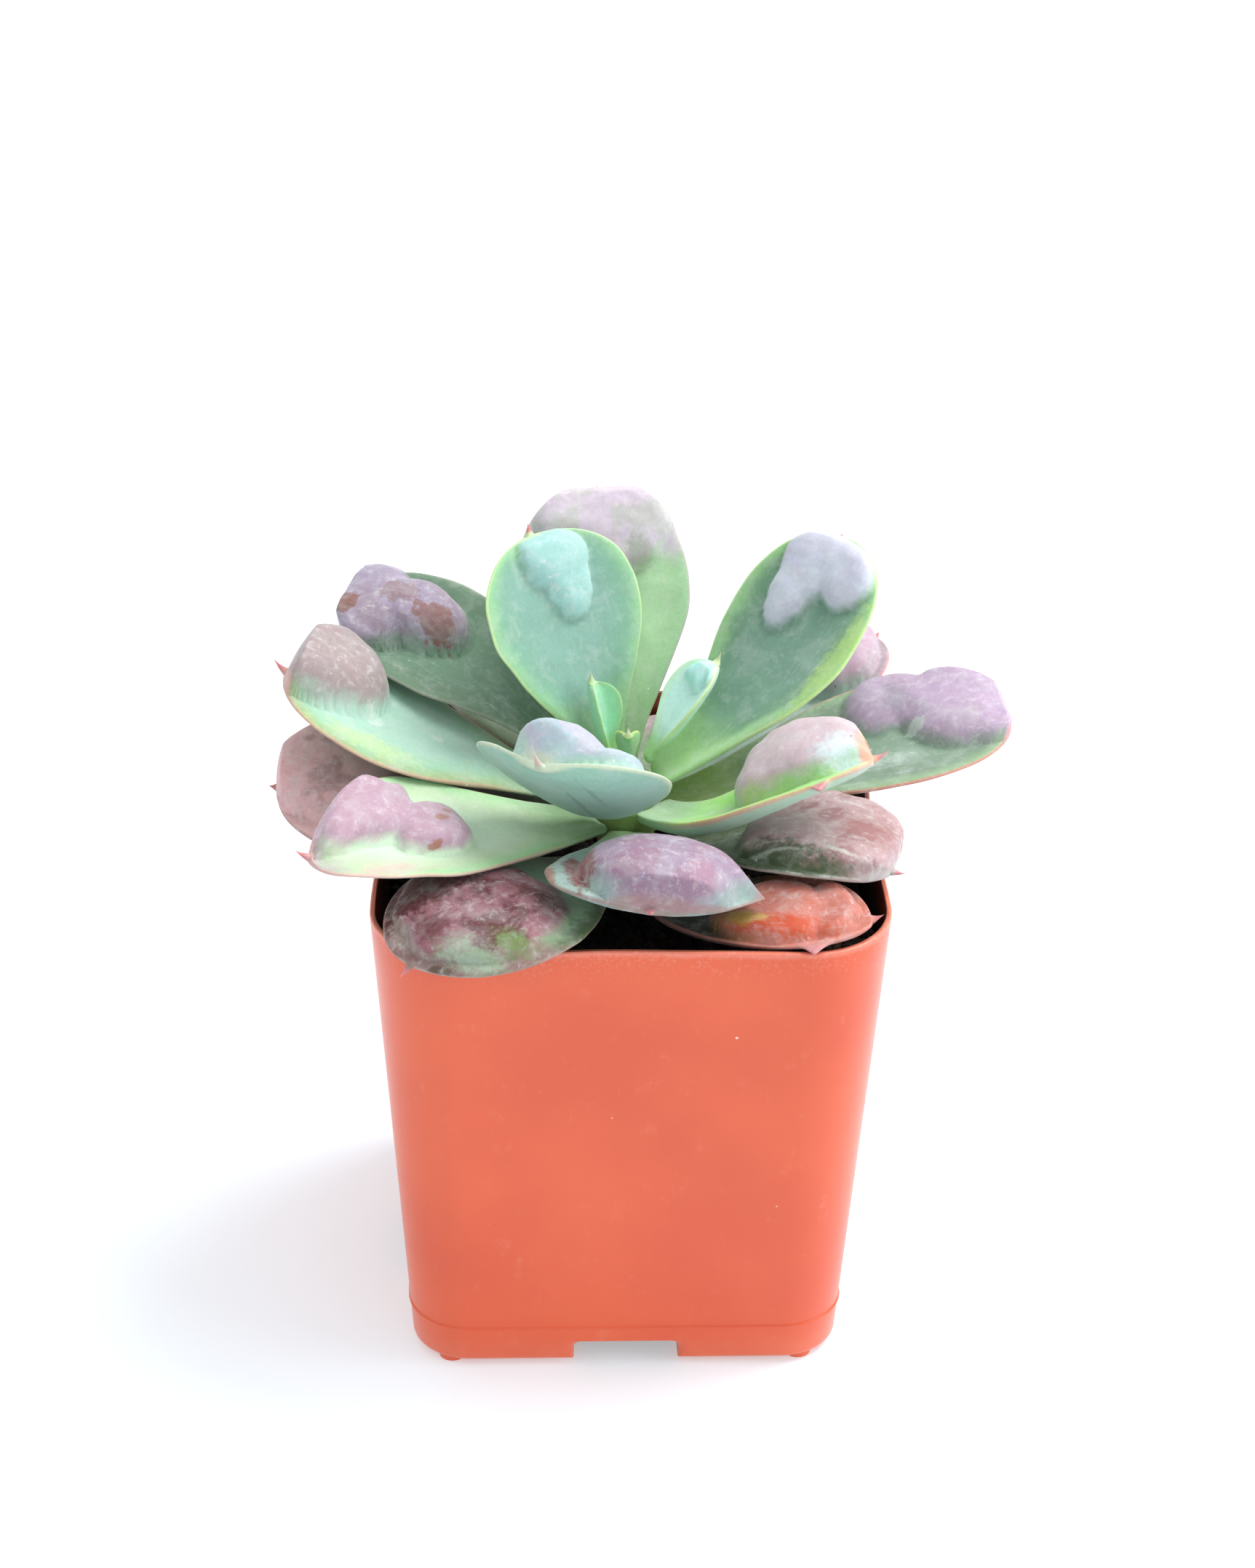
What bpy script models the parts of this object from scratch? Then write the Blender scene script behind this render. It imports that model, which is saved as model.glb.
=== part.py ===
"""A rosette succulent with lumpy, fleshy leaves, growing in a thin square nursery pot.

The frame: +Z up, the pot standing on z = 0 with its front wall facing -Y. The origin is the middle, on the
table, of the box round the whole plant, so the pot's own axis stands at POT_X, POT_Y beside it.

Every piece is its own object: the moulded pot, the potting mix in it, the stem that stands in the mix, and
each leaf, which meets the stem with a small gap. A leaf is a loft along a curved spine. Angles are degrees:
a heading is counted from +X towards +Y, a rise is counted up from level.
"""

import math
from dataclasses import dataclass

import bmesh
import bpy
from mathutils import Matrix, Vector

MM = 0.001
GAP = 0.3 * MM  # clearance between neighbouring pieces

# The plant stands on this axis, which is the pot's and the stem's.
POT_X = -2.0 * MM
POT_Y = 0.0 * MM

# Pot: a tapered square cup with round corners, moulded with four hollow feet round a cross channel.
POT_WIDTH = 57.0 * MM
POT_TAPER = 0.846  # how wide the base is, as a share of the rim
POT_BASE_WIDTH = POT_WIDTH * POT_TAPER
POT_HEIGHT = 58.6 * MM
POT_WALL = 0.7 * MM
RIM_CORNER = POT_WIDTH / 6
BASE_CORNER = POT_BASE_WIDTH / 7.5
CORNER_STEPS = 6  # facets in each round corner
SIDE_STEPS = 6
NUB_HEIGHT = 0.7 * MM  # small pads under the feet
NUB_WIDTH = 3.0 * MM
NUB_INSET = 4.5 * MM  # from the foot's sides to the pad's middle
FOOT_CHAMFER = 0.6 * MM
PARTING_HEIGHT = 5.6 * MM  # the mould's parting line round the base
PARTING_STEP = 0.2 * MM
WALL_BOW = 0.8 * MM  # each wall's rim bows inwards at its middle
CHANNEL_WIDTH = 11.8 * MM  # the cross channel under the floor
CHANNEL_HEIGHT = 2.5 * MM
CHANNEL_ROUND = 1.2 * MM
CHANNEL_TOP = NUB_HEIGHT + CHANNEL_HEIGHT
CENTRE_DRAIN = 7.0 * MM
SIDE_DRAIN = 5.0 * MM
SIDE_DRAIN_OUT = 14.5 * MM
DRAIN_SIDES = 20

# The plant's sizes are for a pot of this width, and grow and shrink with it. Its heights are from the rim.
PLANT_POT_WIDTH = 57.0 * MM
UNIT = MM * POT_WIDTH / PLANT_POT_WIDTH

# Potting mix: fills the pot to below the rim, a little higher round the stem.
SOIL_DEPTH_BELOW_RIM = 7.5 * UNIT
SOIL_CROWN = 1.2 * UNIT

# Stem: a short fleshy column, rooted in the mix.
STEM_RADIUS = 3.4 * UNIT
STEM_TIP_RADIUS = 1.3 * UNIT
STEM_FOOT_RADIUS = 2.6 * UNIT
STEM_FOOT = POT_HEIGHT - 20.6 * UNIT
STEM_SHOULDER = POT_HEIGHT + 1.4 * UNIT
STEM_TOP = POT_HEIGHT + 7.4 * UNIT
STEM_SIDES = 16

# Leaves: their lines start on a cone about the stem's axis, at these distances from it at the shoulder and
# the top of the stem. Each blade begins where its line comes clear of the stem.
RING_RADIUS = 3.7 * UNIT
RING_TIP_RADIUS = 1.6 * UNIT
LEAF_STATIONS = 13  # rings along a leaf
LEAF_ACROSS = 8  # faces across a leaf's upper side
SPINE_STEPS = 40


@dataclass
class Lump:
    """A fleshy outgrowth on a leaf's upper side: where it sits, how far it spreads and how tall it is."""

    along: float  # share of the leaf's length
    across: float  # share of the half width, + is the leaf's left
    length: float  # half sizes, in mm
    width: float
    height: float
    turn: float = 0.0  # turned on the leaf's face, in degrees


@dataclass
class Leaf:
    """One leaf. Triples are values at the base, the middle and the tip."""

    name: str
    root: float  # height of its base above the pot's rim, in mm
    length: float
    left: float  # greatest half widths, in mm
    right: float
    heading: tuple
    rise: tuple
    roll: tuple = (0, 0, 0)  # + lifts the left margin
    cup: float = 2.0  # how far the margins curl up, in mm
    thick: float = 2.2
    neck: float = 0.22  # half width at the base, as a share of the greatest
    broad: float = 0.68  # where along it is widest
    blunt: float = 2.2  # 2 gives a round tip, more a squarer one
    point: float = 1.0  # the sharp tip's length, in mm
    lumps: tuple = ()


LEAVES = (
    # Lowest ring, lying over the potting mix and the rim
    Leaf("leaf_low_front_left", -3.1, 31.0, 11.5, 10.3, (240, 233, 229), (14, 11, -18), cup=1.2,
         lumps=(Lump(0.80, 0.1, 6.5, 9.0, 2.4),)),
    Leaf("leaf_low_front_right", -5.3, 35.0, 6.8, 5.6, (-77, -37, 5), (6, 12, 10), (0, 8, 8),
         lumps=(Lump(0.74, 0.1, 8.0, 4.5, 2.2),)),
    Leaf("leaf_low_right", -3.1, 29.5, 7.5, 8.5, (-32, -28, -24), (20, 14, -12),
         lumps=(Lump(0.74, 0.1, 8.0, 6.0, 4.2),)),
    Leaf("leaf_low_rear_right", -4.6, 24.0, 7.5, 7.5, (66, 68, 70), (8, 2, -8),
         lumps=(Lump(0.80, 0.0, 5.0, 5.0, 1.8),)),
    Leaf("leaf_low_rear_left", -2.1, 31.0, 8.0, 8.0, (118, 122, 124), (14, 8, -6),
         lumps=(Lump(0.80, 0.0, 6.0, 5.5, 3.0),)),
    Leaf("leaf_low_left", -1.6, 35.5, 10.0, 9.0, (184, 180, 178), (16, 10, 2), (-10, -14, -18), cup=0.8,
         lumps=(Lump(0.82, -0.3, 6.5, 6.0, 3.5),)),
    # Second ring
    Leaf("leaf_front", 0.2, 25.0, 10.5, 11.0, (274, 273, 272), (14, 14, 6), (-5, -7, -9), cup=0.6,
         broad=0.8, blunt=2.8, lumps=(Lump(0.66, 0.1, 6.0, 9.0, 6.0),)),
    Leaf("leaf_left_front", 0.6, 36.5, 7.8, 7.8, (218, 202, 188), (13, 13, 22), (-6, -8, -10), neck=0.18,
         lumps=(Lump(0.79, -0.5, 5.5, 5.0, 3.5), Lump(0.62, 0.0, 3.5, 3.5, 3.0))),
    Leaf("leaf_right", 1.2, 40.5, 9.0, 9.2, (7, 9, 10), (12, 10, 10), (8, 8, 8), point=0.6,
         lumps=(Lump(0.85, 0.2, 7.0, 6.0, 4.0), Lump(0.72, 0.4, 5.0, 4.0, 3.0))),
    Leaf("leaf_right_rear", -2.8, 36.0, 8.0, 8.0, (41, 39, 38), (17, 19, 22),
         lumps=(Lump(0.82, 0.0, 6.0, 5.5, 4.0),)),
    Leaf("leaf_left_rear", 2.6, 37.5, 8.5, 7.5, (136, 146, 156), (33, 24, 10), (4, 4, 4), neck=0.15,
         lumps=(Lump(0.84, 0.0, 6.5, 5.5, 4.5),)),
    # Third ring
    Leaf("leaf_left", 1.6, 37.0, 9.8, 7.8, (172, 168, 166), (18, 22, 33), (4, 4, 4), neck=0.16,
         lumps=(Lump(0.90, -0.1, 5.5, 5.0, 4.5),)),
    Leaf("leaf_right_front", 2.2, 30.5, 6.0, 6.0, (-50, -22, 6), (0, 34, 16), (0, -5, -6),
         lumps=(Lump(0.70, 0.4, 7.0, 4.5, 4.0),)),
    Leaf("leaf_rear_tall", 3.8, 32.0, 9.6, 9.4, (98, 97, 96), (52, 53, 55), neck=0.2, broad=0.62,
         point=0.6, lumps=(Lump(0.86, 0.0, 6.5, 8.0, 2.5),)),
    # Fourth ring
    Leaf("leaf_upright_right", 4.4, 35.0, 8.6, 9.6, (16, 35, 58), (30, 41, 53), neck=0.3, broad=0.62,
         point=0.6, lumps=(Lump(0.82, 0.2, 6.0, 5.0, 3.0),)),
    Leaf("leaf_inner_front", 2.8, 23.0, 10.4, 12.2, (252, 245, 238), (28, 42, 52), (4, 5, 6), cup=3.0,
         lumps=(Lump(0.72, 0.0, 4.0, 5.5, 3.5),)),
    Leaf("leaf_upright_rear", 5.6, 27.0, 11.4, 9.8, (126, 129, 130), (62, 62, 64),
         lumps=(Lump(0.84, -0.3, 5.5, 4.2, 2.5),)),
    # Heart of the rosette
    Leaf("leaf_heart_right", 6.4, 13.5, 3.0, 3.0, (24, 28, 36), (50, 50, 48), thick=1.6, point=0.8),
    Leaf("leaf_heart_left", 6.9, 9.0, 2.0, 2.0, (142, 140, 140), (72, 74, 76), thick=1.5, point=0.8),
    Leaf("leaf_heart_bud", 7.4, 5.0, 1.4, 1.4, (270, 270, 270), (76, 80, 84), thick=1.2, point=0.6),
)


def through(values, t):
    """The curve through a triple of values at t = 0, 0.5 and 1."""
    start, middle, end = values
    return start * (1 - t) * (1 - 2 * t) + middle * 4 * t * (1 - t) + end * t * (2 * t - 1)


def taper_at(height, shoulder_radius, tip_radius):
    """A radius that narrows from the stem's shoulder to its top."""
    share = min(1.0, (height - STEM_SHOULDER) / (STEM_TOP - STEM_SHOULDER))
    return shoulder_radius + (tip_radius - shoulder_radius) * max(0.0, share)


def stem_radius_at(height):
    if height >= STEM_SHOULDER:
        return taper_at(height, STEM_RADIUS, STEM_TIP_RADIUS)
    share = max(0.0, (height - STEM_FOOT) / (STEM_SHOULDER - STEM_FOOT))
    return STEM_FOOT_RADIUS + (STEM_RADIUS - STEM_FOOT_RADIUS) * share


def leaf_frames(leaf):
    """Frames along the spine, evenly spaced by length: (point, along, left, up)."""
    heading = math.radians(leaf.heading[0])
    root = POT_HEIGHT + leaf.root * UNIT
    out = taper_at(root, RING_RADIUS, RING_TIP_RADIUS)
    out += 0.5 * leaf.thick * UNIT * math.sin(math.radians(leaf.rise[0]))
    point = Vector((POT_X + out * math.cos(heading), POT_Y + out * math.sin(heading), root))
    step = leaf.length * UNIT / SPINE_STEPS
    frames = []
    for i in range(SPINE_STEPS + 1):
        t = i / SPINE_STEPS
        heading = math.radians(through(leaf.heading, t))
        rise = math.radians(through(leaf.rise, t))
        along = Vector((math.cos(rise) * math.cos(heading), math.cos(rise) * math.sin(heading), math.sin(rise)))
        left = Vector((-math.sin(heading), math.cos(heading), 0.0))
        turn = Matrix.Rotation(math.radians(through(leaf.roll, t)), 3, along)
        left = turn @ left
        frames.append((point.copy(), along, left, along.cross(left)))
        point += along * step
    return frames


def leaf_start(leaf):
    """The share of its length at which a blade begins, a gap away from the stem."""
    root = POT_HEIGHT + leaf.root * UNIT
    move = stem_radius_at(root) + GAP - taper_at(root, RING_RADIUS, RING_TIP_RADIUS)
    return move / (math.cos(math.radians(leaf.rise[0])) * leaf.length * UNIT)


def frame_at(frames, t):
    """The frame at share t of the length. Before the start it runs straight on backwards."""
    place = max(t, 0.0) * SPINE_STEPS
    low = min(int(place), SPINE_STEPS - 1)
    share = place - low
    point, along, left, up = [a.lerp(b, share) for a, b in zip(frames[low], frames[low + 1])]
    if t < 0:
        point = point + (frames[1][0] - frames[0][0]) * t * SPINE_STEPS
    return point, along.normalized(), left.normalized(), up.normalized()


def outline(leaf, t):
    """The blade's half width at t, as a share of its greatest."""
    if t < leaf.broad:
        return leaf.neck + (1 - leaf.neck) * math.sin(0.5 * math.pi * (max(0.0, t) / leaf.broad) ** 1.5)
    past = min(1.0, (t - leaf.broad) / (1 - leaf.broad))
    return (1 - past**leaf.blunt) ** (1 / leaf.blunt)


def lump_height(leaf, t, v):
    """How far the lumps stand out of the upper face at t along and v across."""
    tallest = 0.0
    half = leaf.left if v > 0 else leaf.right
    for lump in leaf.lumps:
        x = (t - lump.along) * leaf.length
        y = (v - lump.across) * half * outline(leaf, min(t, 0.97))
        turn = math.radians(lump.turn)
        x, y = x * math.cos(turn) + y * math.sin(turn), y * math.cos(turn) - x * math.sin(turn)
        far = math.hypot(x / lump.length, y / lump.width)
        if far < 1:
            tallest = max(tallest, lump.height * (1 - far**2.4) ** 0.6)
    return tallest * UNIT


def leaf_mesh(leaf, stations, across):
    """A closed loft: rings round the blade from the base to the sharp tip."""
    frames = leaf_frames(leaf)
    start = leaf_start(leaf)
    shares = [start + (1 - start) * math.sin(0.5 * math.pi * i / stations) ** 1.1 for i in range(stations)]
    bm = bmesh.new()
    rings = []
    for t in shares:
        point, along, left, up = frame_at(frames, t)
        wide = outline(leaf, t)
        deep = leaf.thick * UNIT * (0.55 + 0.45 * (1 - t)) * min(1.0, wide * 1.6)
        ring = []
        for side in (1, -1):
            for j in range(across):
                v = side * math.cos(math.pi * j / across)
                half = (leaf.left if v > 0 else leaf.right) * UNIT
                body = math.sqrt(max(0.0, 1 - abs(v) ** 2.4))
                lift = leaf.cup * UNIT * wide * v * v
                if side > 0:
                    lift += 0.4 * deep * body + lump_height(leaf, t, v) * min(1.0, 3 * (1 - abs(v)))
                else:
                    lift -= 0.6 * deep * body
                ring.append(bm.verts.new(point + left * (v * half * wide) + up * lift))
        rings.append(ring)
    point, along, left, up = frame_at(frames, 1.0)
    tip = bm.verts.new(point + along * leaf.point * UNIT)
    for low, high in zip(rings, rings[1:]):
        for k in range(len(low)):
            n = (k + 1) % len(low)
            bm.faces.new((low[k], low[n], high[n], high[k]))
    for k in range(len(rings[-1])):
        n = (k + 1) % len(rings[-1])
        bm.faces.new((rings[-1][k], rings[-1][n], tip))
    bm.faces.new(list(reversed(rings[0])))
    bmesh.ops.recalc_face_normals(bm, faces=bm.faces)
    return bm


def material(name, colour, roughness):
    """A plain finish."""
    made = bpy.data.materials.get(name) or bpy.data.materials.new(name)
    made.use_nodes = True
    shader = made.node_tree.nodes["Principled BSDF"]
    shader.inputs["Base Color"].default_value = (*colour, 1.0)
    shader.inputs["Roughness"].default_value = roughness
    shader.inputs["Metallic"].default_value = 0.0
    return made


def add_object(name, bm, finish, parent=None):
    mesh = bpy.data.meshes.new(name)
    bm.to_mesh(mesh)
    bm.free()
    mesh.shade_smooth()
    obj = bpy.data.objects.new(name, mesh)
    obj.data.materials.append(finish)
    obj.parent = parent
    bpy.context.scene.collection.objects.link(obj)
    return obj


def build_leaves():
    finish = material("leaf", (0.42, 0.62, 0.46), 0.55)
    for leaf in LEAVES:
        add_object(leaf.name, leaf_mesh(leaf, LEAF_STATIONS, LEAF_ACROSS), finish)


def square_ring(half, corner, bow):
    """Points round a square with round corners, whose sides bow inwards by `bow` at their middle."""
    points = []
    flat = half - corner
    for side in range(4):
        turn = Matrix.Rotation(math.radians(90 * side), 2)
        for i in range(1, SIDE_STEPS):
            y = flat * (2 * i / SIDE_STEPS - 1)
            dip = bow * (1 - (y / flat) ** 2) ** 2
            points.append(turn @ Vector((half - dip, y)))
        for i in range(CORNER_STEPS + 1):
            angle = math.radians(90 * i / CORNER_STEPS)
            arc = Vector((flat + corner * math.cos(angle), flat + corner * math.sin(angle)))
            points.append(turn @ arc)
    return points


def pot_size_at(height):
    """The pot's half width, corner radius and inward bow at a height above the feet."""
    share = (height - NUB_HEIGHT) / (POT_HEIGHT - NUB_HEIGHT)
    half = 0.5 * (POT_BASE_WIDTH + (POT_WIDTH - POT_BASE_WIDTH) * share)
    corner = BASE_CORNER + (RIM_CORNER - BASE_CORNER) * share
    return half, corner, WALL_BOW * max(0.0, share) ** 2


def cup_mesh(levels):
    """A closed loft of the pot's cross-section: (height, inset) for each ring."""
    bm = bmesh.new()
    rings = []
    for height, inset in levels:
        half, corner, bow = pot_size_at(height)
        points = square_ring(half - inset, max(0.5 * MM, corner - inset), bow)
        rings.append([bm.verts.new((POT_X + p.x, POT_Y + p.y, height)) for p in points])
    join_rings(bm, rings)
    return bm


def join_rings(bm, rings):
    """Skin a stack of rings, bottom to top, and close both ends."""
    for low, high in zip(rings, rings[1:]):
        for k in range(len(low)):
            n = (k + 1) % len(low)
            bm.faces.new((low[k], low[n], high[n], high[k]))
    bm.faces.new(list(reversed(rings[0])))
    bm.faces.new(rings[-1])
    bmesh.ops.recalc_face_normals(bm, faces=bm.faces)


def column_mesh(centre, levels, sides):
    """A closed round column: (height, radius) for each ring."""
    bm = bmesh.new()
    rings = []
    for height, radius in levels:
        ring = []
        for k in range(sides):
            angle = 2 * math.pi * k / sides
            ring.append(bm.verts.new((
                centre.x + radius * math.cos(angle),
                centre.y + radius * math.sin(angle),
                height,
            )))
        rings.append(ring)
    join_rings(bm, rings)
    return bm


def channel_mesh(grow):
    """One arm of the cross channel under the floor, a bar with rounded top edges, along X."""
    half = 0.5 * CHANNEL_WIDTH + grow
    top = CHANNEL_TOP + grow
    turn = CHANNEL_ROUND + grow
    profile = [(half, -MM)]
    for i in range(5):
        angle = math.radians(90 * i / 4)
        profile.append((half - turn + turn * math.cos(angle), top - turn + turn * math.sin(angle)))
    profile += [(-y, z) for y, z in reversed(profile)]
    bm = bmesh.new()
    reach = 0.6 * POT_WIDTH
    rings = []
    for x in (-reach, reach):
        rings.append([bm.verts.new((POT_X + x, POT_Y + y, z)) for y, z in profile])
    join_rings(bm, rings)
    return bm


def cutter(name, bm):
    """A shape that only cuts or adds to another."""
    mesh = bpy.data.meshes.new(name)
    bm.to_mesh(mesh)
    bm.free()
    obj = bpy.data.objects.new(name, mesh)
    obj.hide_render = True
    obj.display_type = "WIRE"
    bpy.context.scene.collection.objects.link(obj)
    return obj


def combine(obj, tool, operation):
    modifier = obj.modifiers.new(tool.name, "BOOLEAN")
    modifier.operation = operation
    modifier.solver = "EXACT"
    modifier.object = tool


def cut_channels(obj, name, grow):
    """Take both arms of the cross channel, grown all round, out of a shape."""
    for axis, angle in (("x", 0), ("y", 90)):
        bm = channel_mesh(grow)
        pivot = Vector((POT_X, POT_Y, 0.0))
        bmesh.ops.rotate(bm, verts=bm.verts, cent=pivot, matrix=Matrix.Rotation(math.radians(angle), 3, "Z"))
        combine(obj, cutter(f"{name}_{axis}", bm), "DIFFERENCE")


def drain_mesh():
    """The drain holes through the raised floor: one in the middle and one in each arm of the channel."""
    bm = bmesh.new()
    places = [(0.0, 0.0, CENTRE_DRAIN)]
    for x, y in ((1, 0), (0, 1), (-1, 0), (0, -1)):
        places.append((x * SIDE_DRAIN_OUT, y * SIDE_DRAIN_OUT, SIDE_DRAIN))
    for x, y, across in places:
        bmesh.ops.create_cone(
            bm,
            cap_ends=True,
            segments=DRAIN_SIDES,
            radius1=0.5 * across,
            radius2=0.5 * across,
            depth=6 * MM,
            matrix=Matrix.Translation((POT_X + x, POT_Y + y, CHANNEL_TOP)),
        )
    return bm


def nub_mesh():
    """The small pads that stand on the table, one under each foot."""
    bm = bmesh.new()
    out = 0.5 * POT_BASE_WIDTH - NUB_INSET
    for x in (-out, out):
        for y in (-out, out):
            bmesh.ops.create_cone(
                bm,
                cap_ends=True,
                segments=16,
                radius1=0.5 * NUB_WIDTH,
                radius2=0.5 * NUB_WIDTH,
                depth=NUB_HEIGHT + 0.5 * POT_WALL,
                matrix=Matrix.Translation((POT_X + x, POT_Y + y, 0.5 * (NUB_HEIGHT + 0.5 * POT_WALL))),
            )
    return bm


def build_pot():
    foot = NUB_HEIGHT
    levels = [
        (foot, FOOT_CHAMFER),
        (foot + FOOT_CHAMFER, 0.0),
        (PARTING_HEIGHT - PARTING_STEP, 0.0),
        (PARTING_HEIGHT, -PARTING_STEP),
        (PARTING_HEIGHT + PARTING_STEP, 0.0),
        (0.4 * POT_HEIGHT, 0.0),
        (0.75 * POT_HEIGHT, 0.0),
        (POT_HEIGHT - 0.15 * MM, 0.0),
        (POT_HEIGHT, 0.15 * MM),
    ]
    pot = add_object("pot", cup_mesh(levels), material("pot_plastic", (0.78, 0.20, 0.11), 0.4))
    cut_channels(pot, "channel", 0.0)
    hollow = cutter("pot_hollow", cup_mesh(hollow_levels(0.0, POT_HEIGHT + MM)))
    cut_channels(hollow, "channel_inside", POT_WALL)
    combine(pot, hollow, "DIFFERENCE")
    combine(pot, cutter("drains", drain_mesh()), "DIFFERENCE")
    combine(pot, cutter("foot_pads", nub_mesh()), "UNION")


def hollow_levels(clearance, top):
    """Rings of the pot's inside, drawn in by a clearance."""
    floor = NUB_HEIGHT + POT_WALL + clearance
    inset = POT_WALL + clearance
    return [
        (floor, inset + FOOT_CHAMFER),
        (floor + FOOT_CHAMFER, inset),
        (0.4 * POT_HEIGHT, inset),
        (0.75 * POT_HEIGHT, inset),
        (top, inset),
    ]


def build_potting_mix():
    top = POT_HEIGHT - SOIL_DEPTH_BELOW_RIM
    bm = cup_mesh(hollow_levels(GAP, top))
    bm.faces.ensure_lookup_table()
    lid = max(bm.faces, key=lambda face: face.calc_center_median().z)
    raised = bmesh.ops.poke(bm, faces=[lid])
    for vert in raised["verts"]:
        vert.co.z += SOIL_CROWN
    mix = add_object("potting_mix", bm, material("potting_mix", (0.05, 0.032, 0.022), 0.95))
    for face in mix.data.polygons:
        face.use_smooth = False
    cut_channels(mix, "channel_clear", POT_WALL + GAP)
    socket = column_mesh(Vector((POT_X, POT_Y)), stem_levels(GAP), STEM_SIDES)
    combine(mix, cutter("stem_socket", socket), "DIFFERENCE")


def stem_levels(grow):
    """Rings of the stem, from its foot in the mix to its growing tip."""
    levels = [(STEM_FOOT - grow, STEM_FOOT_RADIUS + grow)]
    for height in (STEM_FOOT + 6 * MM, STEM_SHOULDER - 4 * MM, STEM_SHOULDER, STEM_TOP - 2 * MM, STEM_TOP):
        levels.append((height, stem_radius_at(height) + grow))
    return levels


def build_stem():
    bm = column_mesh(Vector((POT_X, POT_Y)), stem_levels(0.0), STEM_SIDES)
    add_object("stem", bm, material("stem", (0.36, 0.44, 0.22), 0.6))


def clear_scene():
    for obj in list(bpy.data.objects):
        bpy.data.objects.remove(obj)


def main():
    clear_scene()
    build_pot()
    build_potting_mix()
    build_stem()
    build_leaves()


main()
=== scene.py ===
"""The looks of a potted rosette succulent: lumpy, powdery leaves in a thin square nursery pot.

Sizes are in metres unless a name or comment says mm, and +Z is up. The plant grows about the pot's axis.
Each leaf is a skin swept along a curved spine by one node tree, and has fleshy lumps on its upper side.
"""

import math
from dataclasses import dataclass, replace

import bmesh
import bpy
from bpy.props import FloatProperty, FloatVectorProperty, IntProperty, PointerProperty
from mathutils import Matrix, Vector, noise


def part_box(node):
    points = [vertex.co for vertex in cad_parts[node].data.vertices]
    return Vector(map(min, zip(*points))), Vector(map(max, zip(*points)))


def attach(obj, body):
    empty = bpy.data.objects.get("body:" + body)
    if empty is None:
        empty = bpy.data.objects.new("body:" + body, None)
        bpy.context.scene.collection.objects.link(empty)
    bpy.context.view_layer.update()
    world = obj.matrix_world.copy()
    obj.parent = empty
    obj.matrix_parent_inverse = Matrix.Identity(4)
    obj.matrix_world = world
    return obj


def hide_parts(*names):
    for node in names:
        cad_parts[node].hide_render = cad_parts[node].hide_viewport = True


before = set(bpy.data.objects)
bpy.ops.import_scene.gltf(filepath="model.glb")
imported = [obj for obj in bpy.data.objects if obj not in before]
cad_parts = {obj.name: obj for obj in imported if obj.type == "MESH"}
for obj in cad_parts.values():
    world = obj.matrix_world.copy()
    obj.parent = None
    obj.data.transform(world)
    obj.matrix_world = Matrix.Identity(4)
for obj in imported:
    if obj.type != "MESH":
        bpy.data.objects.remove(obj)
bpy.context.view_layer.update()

bl_info = {
    "name": "Potted succulent",
    "version": (1, 0, 0),
    "blender": (4, 5, 0),
    "location": "3D View > Sidebar > Succulent",
    "description": "Builds the looks of a potted rosette succulent around its packed model",
    "category": "Object",
}

MM = 0.001
BODY = "root"

# The pot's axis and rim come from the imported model.
POT_LOW, POT_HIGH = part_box("pot")
POT_X = 0.5 * (POT_LOW.x + POT_HIGH.x)
POT_Y = 0.5 * (POT_LOW.y + POT_HIGH.y)
RIM = POT_HIGH.z
POT_WIDTH = POT_HIGH.x - POT_LOW.x


def tone(code):
    """A linear colour from a six-figure hex code."""
    shares = [int(code[i : i + 2], 16) / 255 for i in (0, 2, 4)]
    return tuple(s / 12.92 if s <= 0.04045 else ((s + 0.055) / 1.055) ** 2.4 for s in shares)


# ---------------------------------------------------------------- node trees


class Term:
    """A socket in a node tree. Python's operators on it add Math nodes to that tree."""

    def __init__(self, graph, socket):
        self.graph = graph
        self.socket = socket

    def __abs__(self):
        return self.graph.math("ABSOLUTE", self)


def math_method(operation, number_first=False):
    """A method that adds one Math node, for an operator of Term."""

    def method(term, other):
        return term.graph.math(operation, *((other, term) if number_first else (term, other)))

    return method


for sign, operation in (("add", "ADD"), ("sub", "SUBTRACT"), ("mul", "MULTIPLY"), ("truediv", "DIVIDE")):
    setattr(Term, f"__{sign}__", math_method(operation))
    setattr(Term, f"__r{sign}__", math_method(operation, number_first=True))
for sign, operation in (("pow", "POWER"), ("gt", "GREATER_THAN"), ("lt", "LESS_THAN")):
    setattr(Term, f"__{sign}__", math_method(operation))


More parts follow.
